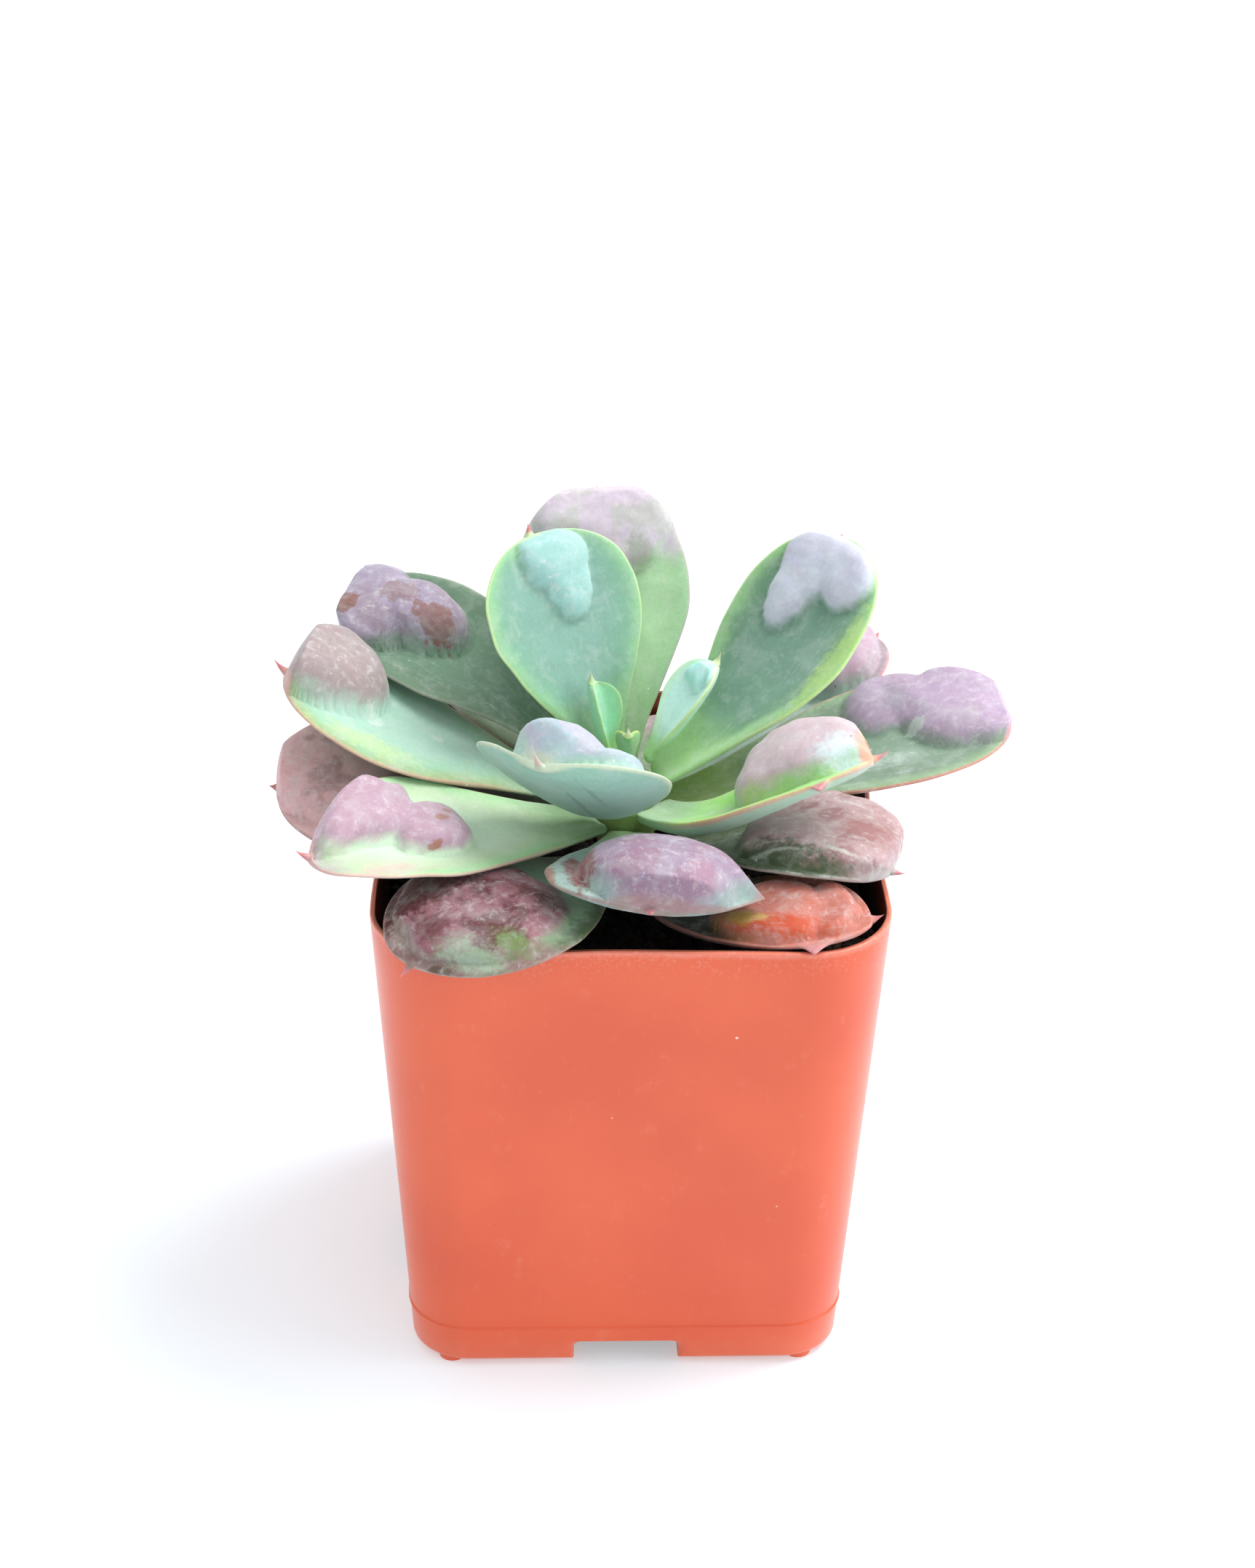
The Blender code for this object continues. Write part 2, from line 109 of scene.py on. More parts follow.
class Graph:
    """Adds nodes to a shader tree or a geometry tree."""

    def __init__(self, tree):
        self.tree = tree

    @staticmethod
    def pick(sockets, key):
        """The socket at a place, or the one in use of that name."""
        if isinstance(key, int):
            return sockets[key]
        return next(s for s in sockets if s.enabled and s.name == key)

    def node(self, kind, settings=None, inputs=None, out=0):
        """Add a node: its settings, then its sockets' values or links. Gives one output or several."""
        made = self.tree.nodes.new(kind)
        for name, value in (settings or {}).items():
            setattr(made, name, value)
        for key, value in (inputs or {}).items():
            socket = self.pick(made.inputs, key)
            if isinstance(value, Term):
                self.tree.links.new(value.socket, socket)
            elif socket.type == "RGBA":
                socket.default_value = (*value[:3], 1.0)
            else:
                socket.default_value = value
        if out is None:
            return made
        if isinstance(out, tuple):
            return tuple(Term(self, self.pick(made.outputs, key)) for key in out)
        return Term(self, self.pick(made.outputs, out))

    def math(self, operation, *values):
        return self.node("ShaderNodeMath", {"operation": operation}, dict(enumerate(values)))

    def vector(self, operation, *values, out=0):
        return self.node("ShaderNodeVectorMath", {"operation": operation}, dict(enumerate(values)), out)

    def sized(self, vector, length):
        """A vector times a number."""
        return self.node("ShaderNodeVectorMath", {"operation": "SCALE"}, {"Vector": vector, "Scale": length})

    def joined(self, x, y, z):
        return self.node("ShaderNodeCombineXYZ", None, {0: x, 1: y, 2: z})

    def parts(self, vector):
        return self.node("ShaderNodeSeparateXYZ", None, {0: vector}, (0, 1, 2))

    def least(self, a, b):
        return self.math("MINIMUM", a, b)

    def most(self, a, b):
        return self.math("MAXIMUM", a, b)

    def within(self, value, low=0.0, high=1.0):
        return self.least(self.most(value, low), high)

    def smooth(self, value, low, high):
        """0 below `low`, 1 above `high`, and an even turn between."""
        return self.node(
            "ShaderNodeMapRange",
            {"interpolation_type": "SMOOTHSTEP"},
            {"Value": value, "From Min": low, "From Max": high},
        )

    def mix(self, share, a, b):
        """A colour between two colours."""
        return self.node("ShaderNodeMix", {"data_type": "RGBA"}, {0: share, 6: a, 7: b}, 2)

    def tint(self, share, a, b):
        """A colour multiplied by another."""
        settings = {"data_type": "RGBA", "blend_type": "MULTIPLY"}
        return self.node("ShaderNodeMix", settings, {0: share, 6: a, 7: b}, 2)

    def grain(self, place, size, detail=2.0, rough=0.5, warp=0.0):
        """Noise from 0 to 1, whose features are about `size` metres across."""
        return self.node("ShaderNodeTexNoise", None, {
            "Vector": place, "Scale": 1 / size, "Detail": detail, "Roughness": rough, "Distortion": warp,
        })

    def place(self):
        """A shader's place on its piece."""
        return self.node("ShaderNodeTexCoord", None, None, "Object")

    def attribute(self, name, out="Fac"):
        return self.node("ShaderNodeAttribute", {"attribute_name": name}, None, out)

    def named(self, name):
        """A vector attribute, in a geometry tree."""
        settings = {"data_type": "FLOAT_VECTOR"}
        return self.node("GeometryNodeInputNamedAttribute", settings, {"Name": name}, "Attribute")

    def store(self, geometry, name, value, kind="FLOAT"):
        settings = {"data_type": kind, "domain": "POINT"}
        values = {"Geometry": geometry, "Name": name, "Value": value}
        return self.node("GeometryNodeStoreNamedAttribute", settings, values)


def geometry_tree(name, sizes):
    """A geometry tree and its named inputs. `sizes` gives each input's type and default."""
    tree = bpy.data.node_groups.new(name, "GeometryNodeTree")
    tree.interface.new_socket("Geometry", in_out="INPUT", socket_type="NodeSocketGeometry")
    tree.interface.new_socket("Geometry", in_out="OUTPUT", socket_type="NodeSocketGeometry")
    for label, (kind, default) in sizes.items():
        socket = tree.interface.new_socket(label, in_out="INPUT", socket_type=f"NodeSocket{kind}")
        if default is not None:
            socket.default_value = default
    graph = Graph(tree)
    start = tree.nodes.new("NodeGroupInput")
    return graph, {s.name: Term(graph, s) for s in start.outputs if s.name}


def close_tree(graph, geometry, finish):
    """End a tree: its instances made real and its finish set."""
    real = graph.node("GeometryNodeRealizeInstances", None, {"Geometry": geometry})
    done = graph.node("GeometryNodeSetMaterial", None, {"Geometry": real, "Material": finish})
    graph.node("NodeGroupOutput", None, {"Geometry": done}, None)
    return graph.tree


def keep_evaluated(obj):
    """Take a piece's modifiers off, and keep the plain mesh that they made."""
    graph = bpy.context.evaluated_depsgraph_get()
    done = obj.evaluated_get(graph)
    made = bpy.data.meshes.new_from_object(done, preserve_all_data_layers=True, depsgraph=graph)
    obj.modifiers.clear()
    obj.data = made


def grow(obj, tree, values):
    """Run a tree on an object with these inputs, and keep the plain mesh it makes."""
    modifier = obj.modifiers.new(tree.name, "NODES")
    modifier.node_group = tree
    for item in tree.interface.items_tree:
        if item.item_type == "SOCKET" and item.in_out == "INPUT" and item.name in values:
            modifier[item.identifier] = values[item.name]
    source = obj.data
    keep_evaluated(obj)
    obj.data.name = obj.name
    bpy.data.meshes.remove(source)
    return obj


# ---------------------------------------------------------------- the leaves' shapes


SCAR = "8D5F55"
PALE_SCAR = "DCE9DF"


@dataclass
class Lump:
    """A fleshy outgrowth: where it sits, how far it spreads and how tall it is."""

    along: float  # share of the leaf's length
    across: float  # share of the half width, + is the leaf's left
    length: float  # half sizes, in mm
    width: float
    height: float
    turn: float = 0.0  # turned on the leaf's face, in degrees


@dataclass
class Mark:
    """A patch of another colour on a leaf's upper side, such as a corky scar; a few are painted shade, on a
    fold or on a face turned from the light.
    """

    along: float
    across: float
    length: float  # half sizes, in mm
    width: float
    depth: float = 1.0  # how strong its colour is
    hue: str = SCAR
    soft: float = 0.25  # the share of it that fades out
    below: bool = False  # on the underside instead


@dataclass(frozen=True)
class Horn:
    """A pointed outgrowth of a leaf's margin."""

    along: float
    size: float  # in mm, + on the leaf's left margin
    width: float  # half its width, in mm
    tint: float = 1.0  # how far it takes the sharp tip's colour


@dataclass
class Look:
    """A leaf's colours, as hex codes."""

    flesh: str  # over most of the blade
    middle: str  # down the middle
    fringe: str  # towards the margins
    margin: str  # the thin line along the edge
    lump: str
    bruise: str  # darker patches on the lumps
    bruising: float = 0.3
    blush: float = 0.9  # where along the blade the lumps' colour takes over; past 1 it doesn't
    blushing: float = 0.5
    powder: float = 0.3
    under: str = "8FB3A2"
    base: str = "9CC28B"  # near the stem; on two low leaves, painted shade under the leaves above
    nib: str = "CF7F84"  # the sharp tip
    rooted: float = 0.36  # where along the blade the base's colour ends
    slot: str = "leaf"


@dataclass
class Leaf:
    """One leaf. Triples are values at the base, the middle and the tip; angles are in degrees."""

    name: str
    root: float  # height of its base above the pot's rim, in mm
    length: float
    left: float  # greatest half widths, in mm
    right: float
    heading: tuple  # from +X towards +Y
    rise: tuple  # up from level
    roll: tuple = (0, 0, 0)  # + lifts the left margin
    cup: float = 2.0  # how far the margins curl up, in mm
    thick: float = 2.2
    neck: float = 0.22  # half width at the base, as a share of the greatest
    broad: float = 0.68  # where along it is widest
    blunt: float = 2.2  # 2 gives a round tip, more a squarer one
    point: float = 1.0  # the sharp tip's length, in mm
    lumps: tuple = ()
    lean: tuple = (0.25, 0.0)  # how far the lumps lean to the tip and to the left, as a share of their height
    marks: tuple = ()
    veer: float = 0.0  # how far the sharp tip stands to the left of the middle, in mm
    ragged: float = 0.7  # how far the lumps' outlines stray, in mm
    horn: Horn = Horn(0.8, 0.0, 1.0)
    look: Look = None


REAR_LOOK = Look("7F9472", "8AA283", "6C7F55", "B79A90", "B795A0", "8A5A60", 0.5, 0.7, 0.7, 0.6,
                 under="76896A", slot="leaf_old")

LEAVES = (
    # Lowest ring, lying over the potting mix and the rim
    Leaf(
        "leaf_low_front_left", -3.4, 34.8, 11.3, 9.5, (240, 233, 230), (12, 11, -35), (0, -2, -5),
        cup=0.8, thick=1.8, point=1.8, veer=-3.0, lumps=(Lump(0.71, 0.0, 8.8, 9.2, 2.2),),
        marks=(
            Mark(0.76, -0.78, 7.0, 5.0, 1.0, "561A1E", 0.35),
            Mark(0.88, -0.15, 3.0, 3.4, 0.8, "5F2226", 0.8),
            Mark(0.90, 0.45, 2.6, 6.0, 0.75, "9CBE98", 0.8),
            Mark(0.80, 0.62, 2.2, 3.6, 0.8, "71924E", 0.8),
            Mark(0.52, 0.95, 8.0, 3.0, 0.9, "4C6138", 0.6),
        ),
        look=Look("93B78C", "9CC0A0", "44602E", "A98C80", "99646F", "5A171B", 0.85, 0.72, 0.75, 0.25,
                  under="7E8F70", base="6B7F4F", slot="leaf_old"),
    ),
    Leaf(
        "leaf_low_front_right", -5.6, 35.0, 6.8, 5.6, (-77, -37, 5), (6, 12, 10), (0, 8, 8), point=1.4,
        lumps=(Lump(0.68, 0.0, 7.0, 5.2, 3.2), Lump(0.86, 0.1, 3.8, 4.0, 2.2)), ragged=0.4,
        horn=Horn(0.84, -1.6, 1.5, 0.7),
        marks=(
            Mark(0.74, -0.55, 7.0, 1.9, 1.0, "CC4E24", 0.5),
            Mark(0.62, -0.5, 3.6, 1.3, 1.0, "D3A54E", 0.6),
        ),
        # Painted shade: the near-black base colour, over most of the blade's length, stands for the shade
        # under the leaves above.
        look=Look("B98F62", "C98A5C", "E08A62", "D38E83", "CA786A", "D06A48", 0.35, 0.66, 0.9, 0.4,
                  under="C97F66", base="262E1A", rooted=0.74, slot="leaf_old"),
    ),
    Leaf(
        "leaf_low_right", -3.1, 29.5, 7.5, 8.5, (-32, -28, -24), (20, 14, -12), point=1.6,
        lumps=(Lump(0.72, 0.0, 9.5, 7.4, 3.8),), ragged=0.5,
        marks=(
            # Painted shade: this dark patch along the right margin stands for the shade on the leaf's front
            # face.
            Mark(0.6, -0.85, 10.0, 2.8, 0.95, "40502F", 0.6),
            Mark(0.62, -0.75, 4.0, 0.35, 0.5, "DCE2D8", 0.8),
            Mark(0.84, -0.6, 2.4, 0.4, 0.6, "DCE2D8", 0.8),
            Mark(0.5, 0.1, 0.9, 0.6, 0.9, "6A2A2A"),
            Mark(0.86, 0.1, 4.5, 4.5, 0.8, "A87371", 0.8),
        ),
        look=Look("647758", "728668", "55683F", "C9C2BC", "C0A0A2", "8F5256", 0.6, 0.85, 0.8, 0.9,
                  under="66795A", base="5D7242", slot="leaf_old"),
    ),
    Leaf(
        "leaf_low_rear_right", -4.6, 24.0, 7.5, 7.5, (66, 68, 70), (8, 2, -8),
        lumps=(Lump(0.80, 0.0, 5.0, 5.0, 1.8),),
        look=REAR_LOOK,
    ),
    Leaf(
        "leaf_low_rear_left", -1.3, 31.0, 8.0, 8.0, (118, 122, 124), (12, 8, -6),
        lumps=(Lump(0.80, 0.0, 6.0, 5.5, 2.0),),
        look=replace(REAR_LOOK, blush=0.75),
    ),
    Leaf(
        "leaf_low_left", -1.6, 35.5, 10.0, 9.0, (184, 180, 178), (16, 10, 2), (-10, -14, -18), cup=0.8,
        lumps=(Lump(0.80, -0.2, 8.5, 8.0, 3.8),),
        # Painted shade: the dark olive base colour stands for the shade under the leaves above.
        look=Look("988578", "8F8878", "7A6A5E", "A0887C", "E7B4B6", "8C6866", 0.5, 0.55, 0.9, 0.6,
                  under="7C7462", base="5D6B44", slot="leaf_old"),
    ),
    # Second ring
    Leaf(
        "leaf_front", 0.2, 25.0, 10.5, 11.0, (274, 273, 272), (14, 14, 6), (-5, -7, -9), cup=0.6,
        broad=0.8, blunt=2.8, point=1.6, horn=Horn(0.80, 2.4, 3.4, 0.2),
        lumps=(Lump(0.745, 0.14, 7.6, 9.2, 5.2),), lean=(0.4, 0.0), ragged=0.4,
        marks=(
            Mark(0.74, -0.68, 6.0, 2.0, 1.0, "7E3A40", 0.5),
            Mark(0.80, -0.98, 5.0, 1.0, 0.8, "94604F", 0.5),
            Mark(0.90, 0.5, 2.6, 2.6, 0.45, "B5788A", 0.8),
        ),
        look=Look("93B2A7", "9BC0B2", "9DB5AE", "A98078", "A28CA4", "965A6A", 0.35, 0.97, 0.3, 0.5,
                  under="7E9C90", base="9CC28B"),
    ),
    Leaf(
        "leaf_left_front", 0.8, 36.5, 9.4, 7.8, (218, 202, 188), (14, 13, 22), (-6, -8, -10), neck=0.3,
        point=2.0, veer=6.5, lean=(0.1, 0.15),
        lumps=(
            Lump(0.82, -0.3, 6.6, 5.2, 3.6),
            Lump(0.62, 0.15, 4.6, 4.2, 3.2),
            Lump(0.9, -0.7, 4.0, 2.8, 1.8),
        ),
        marks=(
            Mark(0.60, 0.12, 1.0, 0.6, 0.9, "A8705A", 0.4),
            Mark(0.575, 0.0, 0.6, 0.5, 0.8, "A8705A", 0.4),
            Mark(0.645, 0.5, 1.0, 0.5, 0.9, "A8705A", 0.4),
            Mark(0.82, 0.8, 7.0, 2.4, 0.7, "E3BDBB", 0.8),
        ),
        look=Look("C8E1B8", "D1EBCE", "9DDF9A", "E6A9A6", "C09FB1", "B08890", 0.15, 0.93, 0.8, 0.25,
                  under="92BA9C", base="8FB383"),
    ),
    Leaf(
        "leaf_right", 1.4, 40.5, 9.0, 9.2, (7, 9, 10), (12, 10, 7), (8, 8, 8), blunt=2.0, point=0.2,
        lumps=(Lump(0.88, 0.28, 7.6, 6.4, 3.2), Lump(0.70, 0.58, 6.0, 4.0, 2.6)),
        lean=(0.1, -0.1), ragged=0.4,
        marks=(
            Mark(0.73, 0.02, 1.2, 0.8, 0.6, PALE_SCAR),
            Mark(0.58, -0.1, 1.0, 0.5, 0.5, PALE_SCAR),
            Mark(0.42, 0.35, 5.0, 2.2, 0.5, "D3E2DA", 0.8),
            Mark(0.60, -0.35, 5.0, 1.6, 0.45, "DDE8E0", 0.8),
            Mark(0.36, 0.0, 0.9, 0.6, 0.9, "57503A"),
            Mark(0.70, 0.45, 2.4, 3.0, 0.6, "85808A", 0.8),
        ),
        look=Look("829983", "859F8A", "A2C294", "E07875", "C1A9C4", "9E8894", 0.3, 0.97, 0.5, 0.6,
                  under="8CAE98", base="8CA95C"),
    ),
    Leaf(
        "leaf_right_rear", -2.8, 36.0, 8.0, 8.0, (41, 39, 38), (17, 19, 22),
        lumps=(Lump(0.82, 0.0, 6.0, 5.5, 4.0),),
        look=Look("A8C3B4", "A7C1B4", "A0AF94", "E0848C", "C9AABC", "A98A98", 0.2, 0.8, 0.8, 0.4,
                  under="8AA091"),
    ),
    Leaf(
        "leaf_left_rear", 2.6, 36.3, 9.4, 8.0, (136, 146, 156), (33, 20, 5), (2, -8, -20), neck=0.15,
        lumps=(Lump(0.90, 0.1, 5.6, 6.2, 4.2), Lump(0.76, -0.1, 6.0, 4.2, 4.6)), ragged=0.5,
        marks=(Mark(0.95, 0.3, 1.6, 1.6), Mark(0.82, -0.1, 2.4, 1.8, 0.55), Mark(0.68, 0.05, 2.4, 2.0, 0.85)),
        look=Look("64856A", "6F9277", "78967A", "A9A79B", "A89BB0", "8C6E76", 0.4, 0.93, 0.6, 0.35,
                  under="6F8975", base="6F9467"),
    ),
    # Third ring
    Leaf(
        "leaf_left", 1.8, 37.0, 12.0, 7.8, (172, 168, 166), (18, 22, 33), (4, 4, 4), neck=0.16,
        cup=0.8, point=2.2, veer=3.0, lumps=(Lump(0.88, -0.05, 7.4, 6.8, 5.2),), ragged=0.4,
        marks=(
            Mark(0.70, 0.3, 1.4, 1.2, 0.5, PALE_SCAR),
            Mark(0.5, 0.1, 0.9, 0.6, 0.5, PALE_SCAR),
            Mark(0.68, 0.75, 9.0, 2.8, 0.6, "CBE39B", 0.8),
        ),
        look=Look("9FCDAD", "ADD4C0", "A1B26F", "E6AE9C", "AA9898", "A88C90", 0.25, 0.95, 0.6, 0.3,
                  under="86AC90", base="86B37F"),
    ),
    Leaf(
        "leaf_right_front", 2.2, 30.5, 6.0, 6.0, (-50, -22, 6), (0, 34, 16), (0, -5, -6), point=2.2,
        lumps=(Lump(0.72, 0.4, 8.8, 5.0, 4.6),), lean=(0.15, -0.2), neck=0.42, horn=Horn(0.83, -2.0, 1.0),
        marks=(
            Mark(0.5, -0.45, 7.0, 2.2, 0.6, "C6DB86", 0.8),
            Mark(0.9, -0.2, 3.0, 2.6, 0.8, "DDF3F5", 0.7),
            Mark(0.99, 0.0, 1.4, 3.0, 0.8, "EFA48C", 0.6),
        ),
        look=Look("A2E778", "AEDC98", "C1E989", "EBA98A", "D8C2C9", "C0A2A4", 0.2, 0.9, 0.4, 0.3,
                  under="B4D6C5", base="A3C79A"),
    ),
    Leaf(
        "leaf_rear_tall", 3.8, 32.0, 9.6, 9.4, (98, 97, 96), (52, 53, 55), neck=0.2, broad=0.62, blunt=2.7,
        point=0.3, lumps=(Lump(0.86, 0.0, 6.5, 8.0, 2.5), Lump(0.72, 0.75, 3.0, 2.5, 1.5)),
        marks=(
            Mark(0.74, -0.4, 2.4, 1.9, 0.6, "93A07F", 0.6),
            Mark(0.70, 0.1, 1.6, 1.4, 0.5, "93A07F", 0.6),
        ),
        look=Look("AFD8A5", "BDE5B5", "A2CE9F", "C3B4B4", "D8C9D8", "ABBA9F", 0.45, 0.74, 0.9, 0.3,
                  under="9BC39B", base="9CC28B"),
    ),
    # Fourth ring
    Leaf(
        "leaf_upright_right", 4.4, 35.0, 8.6, 9.6, (16, 35, 58), (30, 41, 53), neck=0.3, broad=0.62,
        point=0.3, ragged=0.4,
        lumps=(
            Lump(0.88, 0.16, 4.8, 4.2, 2.2),
            Lump(0.79, 0.28, 6.0, 3.0, 2.0),
            Lump(0.88, -0.42, 4.0, 3.8, 2.3),
        ),
        marks=(Mark(0.62, -0.85, 10.0, 2.4, 0.7, "B9DE7E", 0.8),),
        look=Look("729E7E", "7AA28D", "AEE39B", "DCF9AE", "D3D9E7", "C8C1D7", 0.4, 1.2, 0.2, 0.25,
                  under="8FB59A", base="AFDD95"),
    ),
    Leaf(
        "leaf_inner_front", 2.8, 23.0, 10.4, 12.2, (252, 245, 238), (28, 42, 52), (4, 5, 6), cup=3.0,
        point=3.2, veer=-2.0,
        lumps=(Lump(0.80, -0.08, 4.8, 5.4, 5.4), Lump(0.82, 0.42, 3.8, 3.5, 2.8)), lean=(0.5, 0.0),
        marks=(
            Mark(0.76, -0.3, 1.1, 0.9, 0.8),
            # Painted shade: these two dark lines on the underside stand for the shade in its folds.
            Mark(0.62, 0.02, 8.0, 0.5, 0.5, "5F7F74", 0.8, True),
            Mark(0.78, 0.3, 4.5, 0.5, 0.45, "5F7F74", 0.8, True),
            Mark(0.7, -0.5, 5.0, 4.5, 0.45, "84A69C", 0.8, True),
        ),
        look=Look("AAD7C1", "B0DCCD", "B4DDC4", "DCE0C4", "B4C8D1", "C4B4C8", 0.5, 1.2, 0.3, 0.25,
                  under="9ECCB8", base="A3CE98", nib="D8B9B4", slot="leaf_young"),
    ),
    Leaf(
        "leaf_upright_rear", 5.6, 27.0, 11.4, 9.8, (126, 129, 130), (62, 62, 64), point=1.6, veer=1.2,
        lumps=(Lump(0.88, -0.08, 4.0, 4.6, 2.0), Lump(0.80, -0.12, 5.6, 3.3, 1.9)), ragged=0.2,
        look=Look("81B398", "86B1A2", "A1D59A", "DDF5AC", "A4D4CD", "A8C8CC", 0.2, 1.2, 0.1, 0.2,
                  under="8FC4A4", base="8FBD83"),
    ),
    # Heart of the rosette
    Leaf(
        "leaf_heart_right", 6.4, 13.5, 3.0, 3.0, (24, 28, 36), (50, 50, 48), thick=1.6, point=1.4,
        cup=1.8, lumps=(Lump(0.85, 0.0, 2.0, 2.2, 1.2),),
        look=Look("D7FFF5", "DDFFFF", "DEFFCD", "DDEFA0", "C8FFF8", "A9CCD0", 0.1, 1.2, 0.1, 0.2,
                  under="CBFFED", base="A6D690", nib="C4D3A6", slot="leaf_young"),
    ),
    Leaf(
        "leaf_heart_left", 6.9, 9.0, 2.0, 2.0, (142, 140, 140), (72, 74, 76), thick=1.5, point=1.4,
        look=Look("A6E9BD", "ABEACA", "AFDC94", "C2E0A8", "A6D6CF", "A8C8CC", 0.1, 1.2, 0.1, 0.2,
                  under="A6E4BF", base="A0D088", nib="C4D3A6", slot="leaf_young"),
    ),
    Leaf(
        "leaf_heart_bud", 7.4, 5.0, 1.4, 1.4, (270, 270, 270), (76, 80, 84), thick=1.2, point=1.0,
        look=Look("86BD7C", "86BD88", "A0CC78", "CFE080", "A6D6CF", "A8C8CC", 0.1, 1.2, 0.1, 0.2,
                  under="86B97C", base="8CBE70", nib="C4D3A6", slot="leaf_young"),
    ),
)

# The blades' lines start on a cone about the stem, at these distances from its axis.
RING_RADIUS = 3.7
RING_TIP_RADIUS = 1.6
SHOULDER = 1.4  # heights above the rim, in mm
SUMMIT = 7.4
SPINE_STEPS = 80
MOST_LUMPS = 3
NIB_START = 0.93  # the rings beyond this share of them make the sharp tip
NIB_RADIUS = 0.55  # mm
BASE_ROUND = 0.03  # the share of the rings that rounds the base off
MOST_SWAY = 3.4  # mm, across a lump's outline as it strays


def through(values, t):
    """The curve through a triple of values at t = 0, 0.5 and 1."""
    start, middle, end = values
    return start * (1 - t) * (1 - 2 * t) + middle * 4 * t * (1 - t) + end * t * (2 * t - 1)


def spine_frames(leaf):
    """Frames along a leaf's spine, evenly spaced: (point, along, left, up)."""
    heading = math.radians(leaf.heading[0])
    share = min(1.0, max(0.0, (leaf.root - SHOULDER) / (SUMMIT - SHOULDER)))
    out = RING_RADIUS + (RING_TIP_RADIUS - RING_RADIUS) * share
    out += 0.5 * leaf.thick * math.sin(math.radians(leaf.rise[0]))
    point = Vector((
        POT_X + out * MM * math.cos(heading),
        POT_Y + out * MM * math.sin(heading),
        RIM + leaf.root * MM,
    ))
    step = leaf.length * MM / SPINE_STEPS
    frames = []
    for i in range(SPINE_STEPS + 1):
        t = i / SPINE_STEPS
        heading = math.radians(through(leaf.heading, t))
        rise = math.radians(through(leaf.rise, t))
        level = Vector((math.cos(heading), math.sin(heading), 0.0))
        along = Vector((math.cos(rise) * level.x, math.cos(rise) * level.y, math.sin(rise)))
        turn = Matrix.Rotation(math.radians(through(leaf.roll, t)), 3, along)
        left = turn @ Vector((-math.sin(heading), math.cos(heading), 0.0))
        frames.append((point.copy(), along, left, along.cross(left)))
        point += along * step
    return frames


def spine_object(leaf):
    """A leaf's spine: a line of vertices that carry the blade's left and up directions."""
    frames = spine_frames(leaf)
    mesh = bpy.data.meshes.new(leaf.name)
    mesh.from_pydata([f[0] for f in frames], [(i, i + 1) for i in range(len(frames) - 1)], [])
    for name, place in (("left", 2), ("up", 3), ("along", 1)):
        data = mesh.attributes.new(name, "FLOAT_VECTOR", "POINT")
        data.data.foreach_set("vector", [c for f in frames for c in f[place]])
    obj = bpy.data.objects.new(leaf.name, mesh)
    bpy.context.scene.collection.objects.link(obj)
    return obj


BLADE_SIZES = {
    "Finish": ("Material", None),
    "Rings": ("Int", 120),
    "Points round": ("Int", 81),
    "Length": ("Float", 30.0),
    "Left half": ("Float", 8.0),
    "Right half": ("Float", 8.0),
    "Curl": ("Float", 2.0),
    "Thickness": ("Float", 2.2),
    "Neck": ("Float", 0.22),
    "Broadest at": ("Float", 0.68),
    "Bluntness": ("Float", 2.2),
    "Point": ("Float", 1.0),
    "Unevenness": ("Float", 0.35),
    "Lean": ("Vector", (0.0, 0.0, 0.0)),
    "Veer": ("Float", 0.0),
    "Raggedness": ("Float", 0.7),
    "Horn": ("Vector", (0.8, 0.0, 1.0)),
    "Horn tint": ("Float", 1.0),
    "Seed": ("Float", 0.0),
}


def blade_width(g, given, t):
    """How wide the blade is along its length, as a share of its widest."""
    swelling = g.within(t / given["Broadest at"]) ** 1.5
    rising = given["Neck"] + (1.0 - given["Neck"]) * g.math("SINE", swelling * (0.5 * math.pi))
    past = g.within((t - given["Broadest at"]) / (1.0 - given["Broadest at"]))
    return rising * (1.0 - past ** given["Bluntness"]) ** (1.0 / given["Bluntness"])


def blade_lumps(g, given, flat, t, v, half, wide):
    """The lumps' height at each point, in mm, and a measure that is above 0 on a lump and below 0 off it."""
    wander = g.grain(flat, 5.0, 1.0)
    stray = g.grain(g.vector("ADD", flat, (31.0, 7.0, 0.0)), 5.0, 1.0)
    sway_x = (wander - 0.5) * MOST_SWAY * given["Raggedness"]
    sway_y = (stray - 0.5) * MOST_SWAY * given["Raggedness"]
    height = swell = None
    for i in range(1, MOST_LUMPS + 1):
        along, across, turn = g.parts(given[f"Lump {i} place"])
        long, broad, tall = g.parts(given[f"Lump {i} size"])
        x = (t - along) * given["Length"] + sway_x
        y = (v - across) * half * g.most(wide, 0.3) + sway_y
        cosine, sine = g.math("COSINE", turn), g.math("SINE", turn)
        far = (((x * cosine + y * sine) / long) ** 2.0 + ((y * cosine - x * sine) / broad) ** 2.0) ** 0.5
        mound = tall * (1.0 - g.within(far) ** 3.0) ** 0.52
        near = g.most(1.0 - far, -1.0) - 2.0 * (tall < 0.01)
        height = mound if height is None else g.math("SMOOTH_MAX", height, mound, 0.8)
        swell = near if swell is None else g.math("SMOOTH_MAX", swell, near, 0.15)
    return height, swell


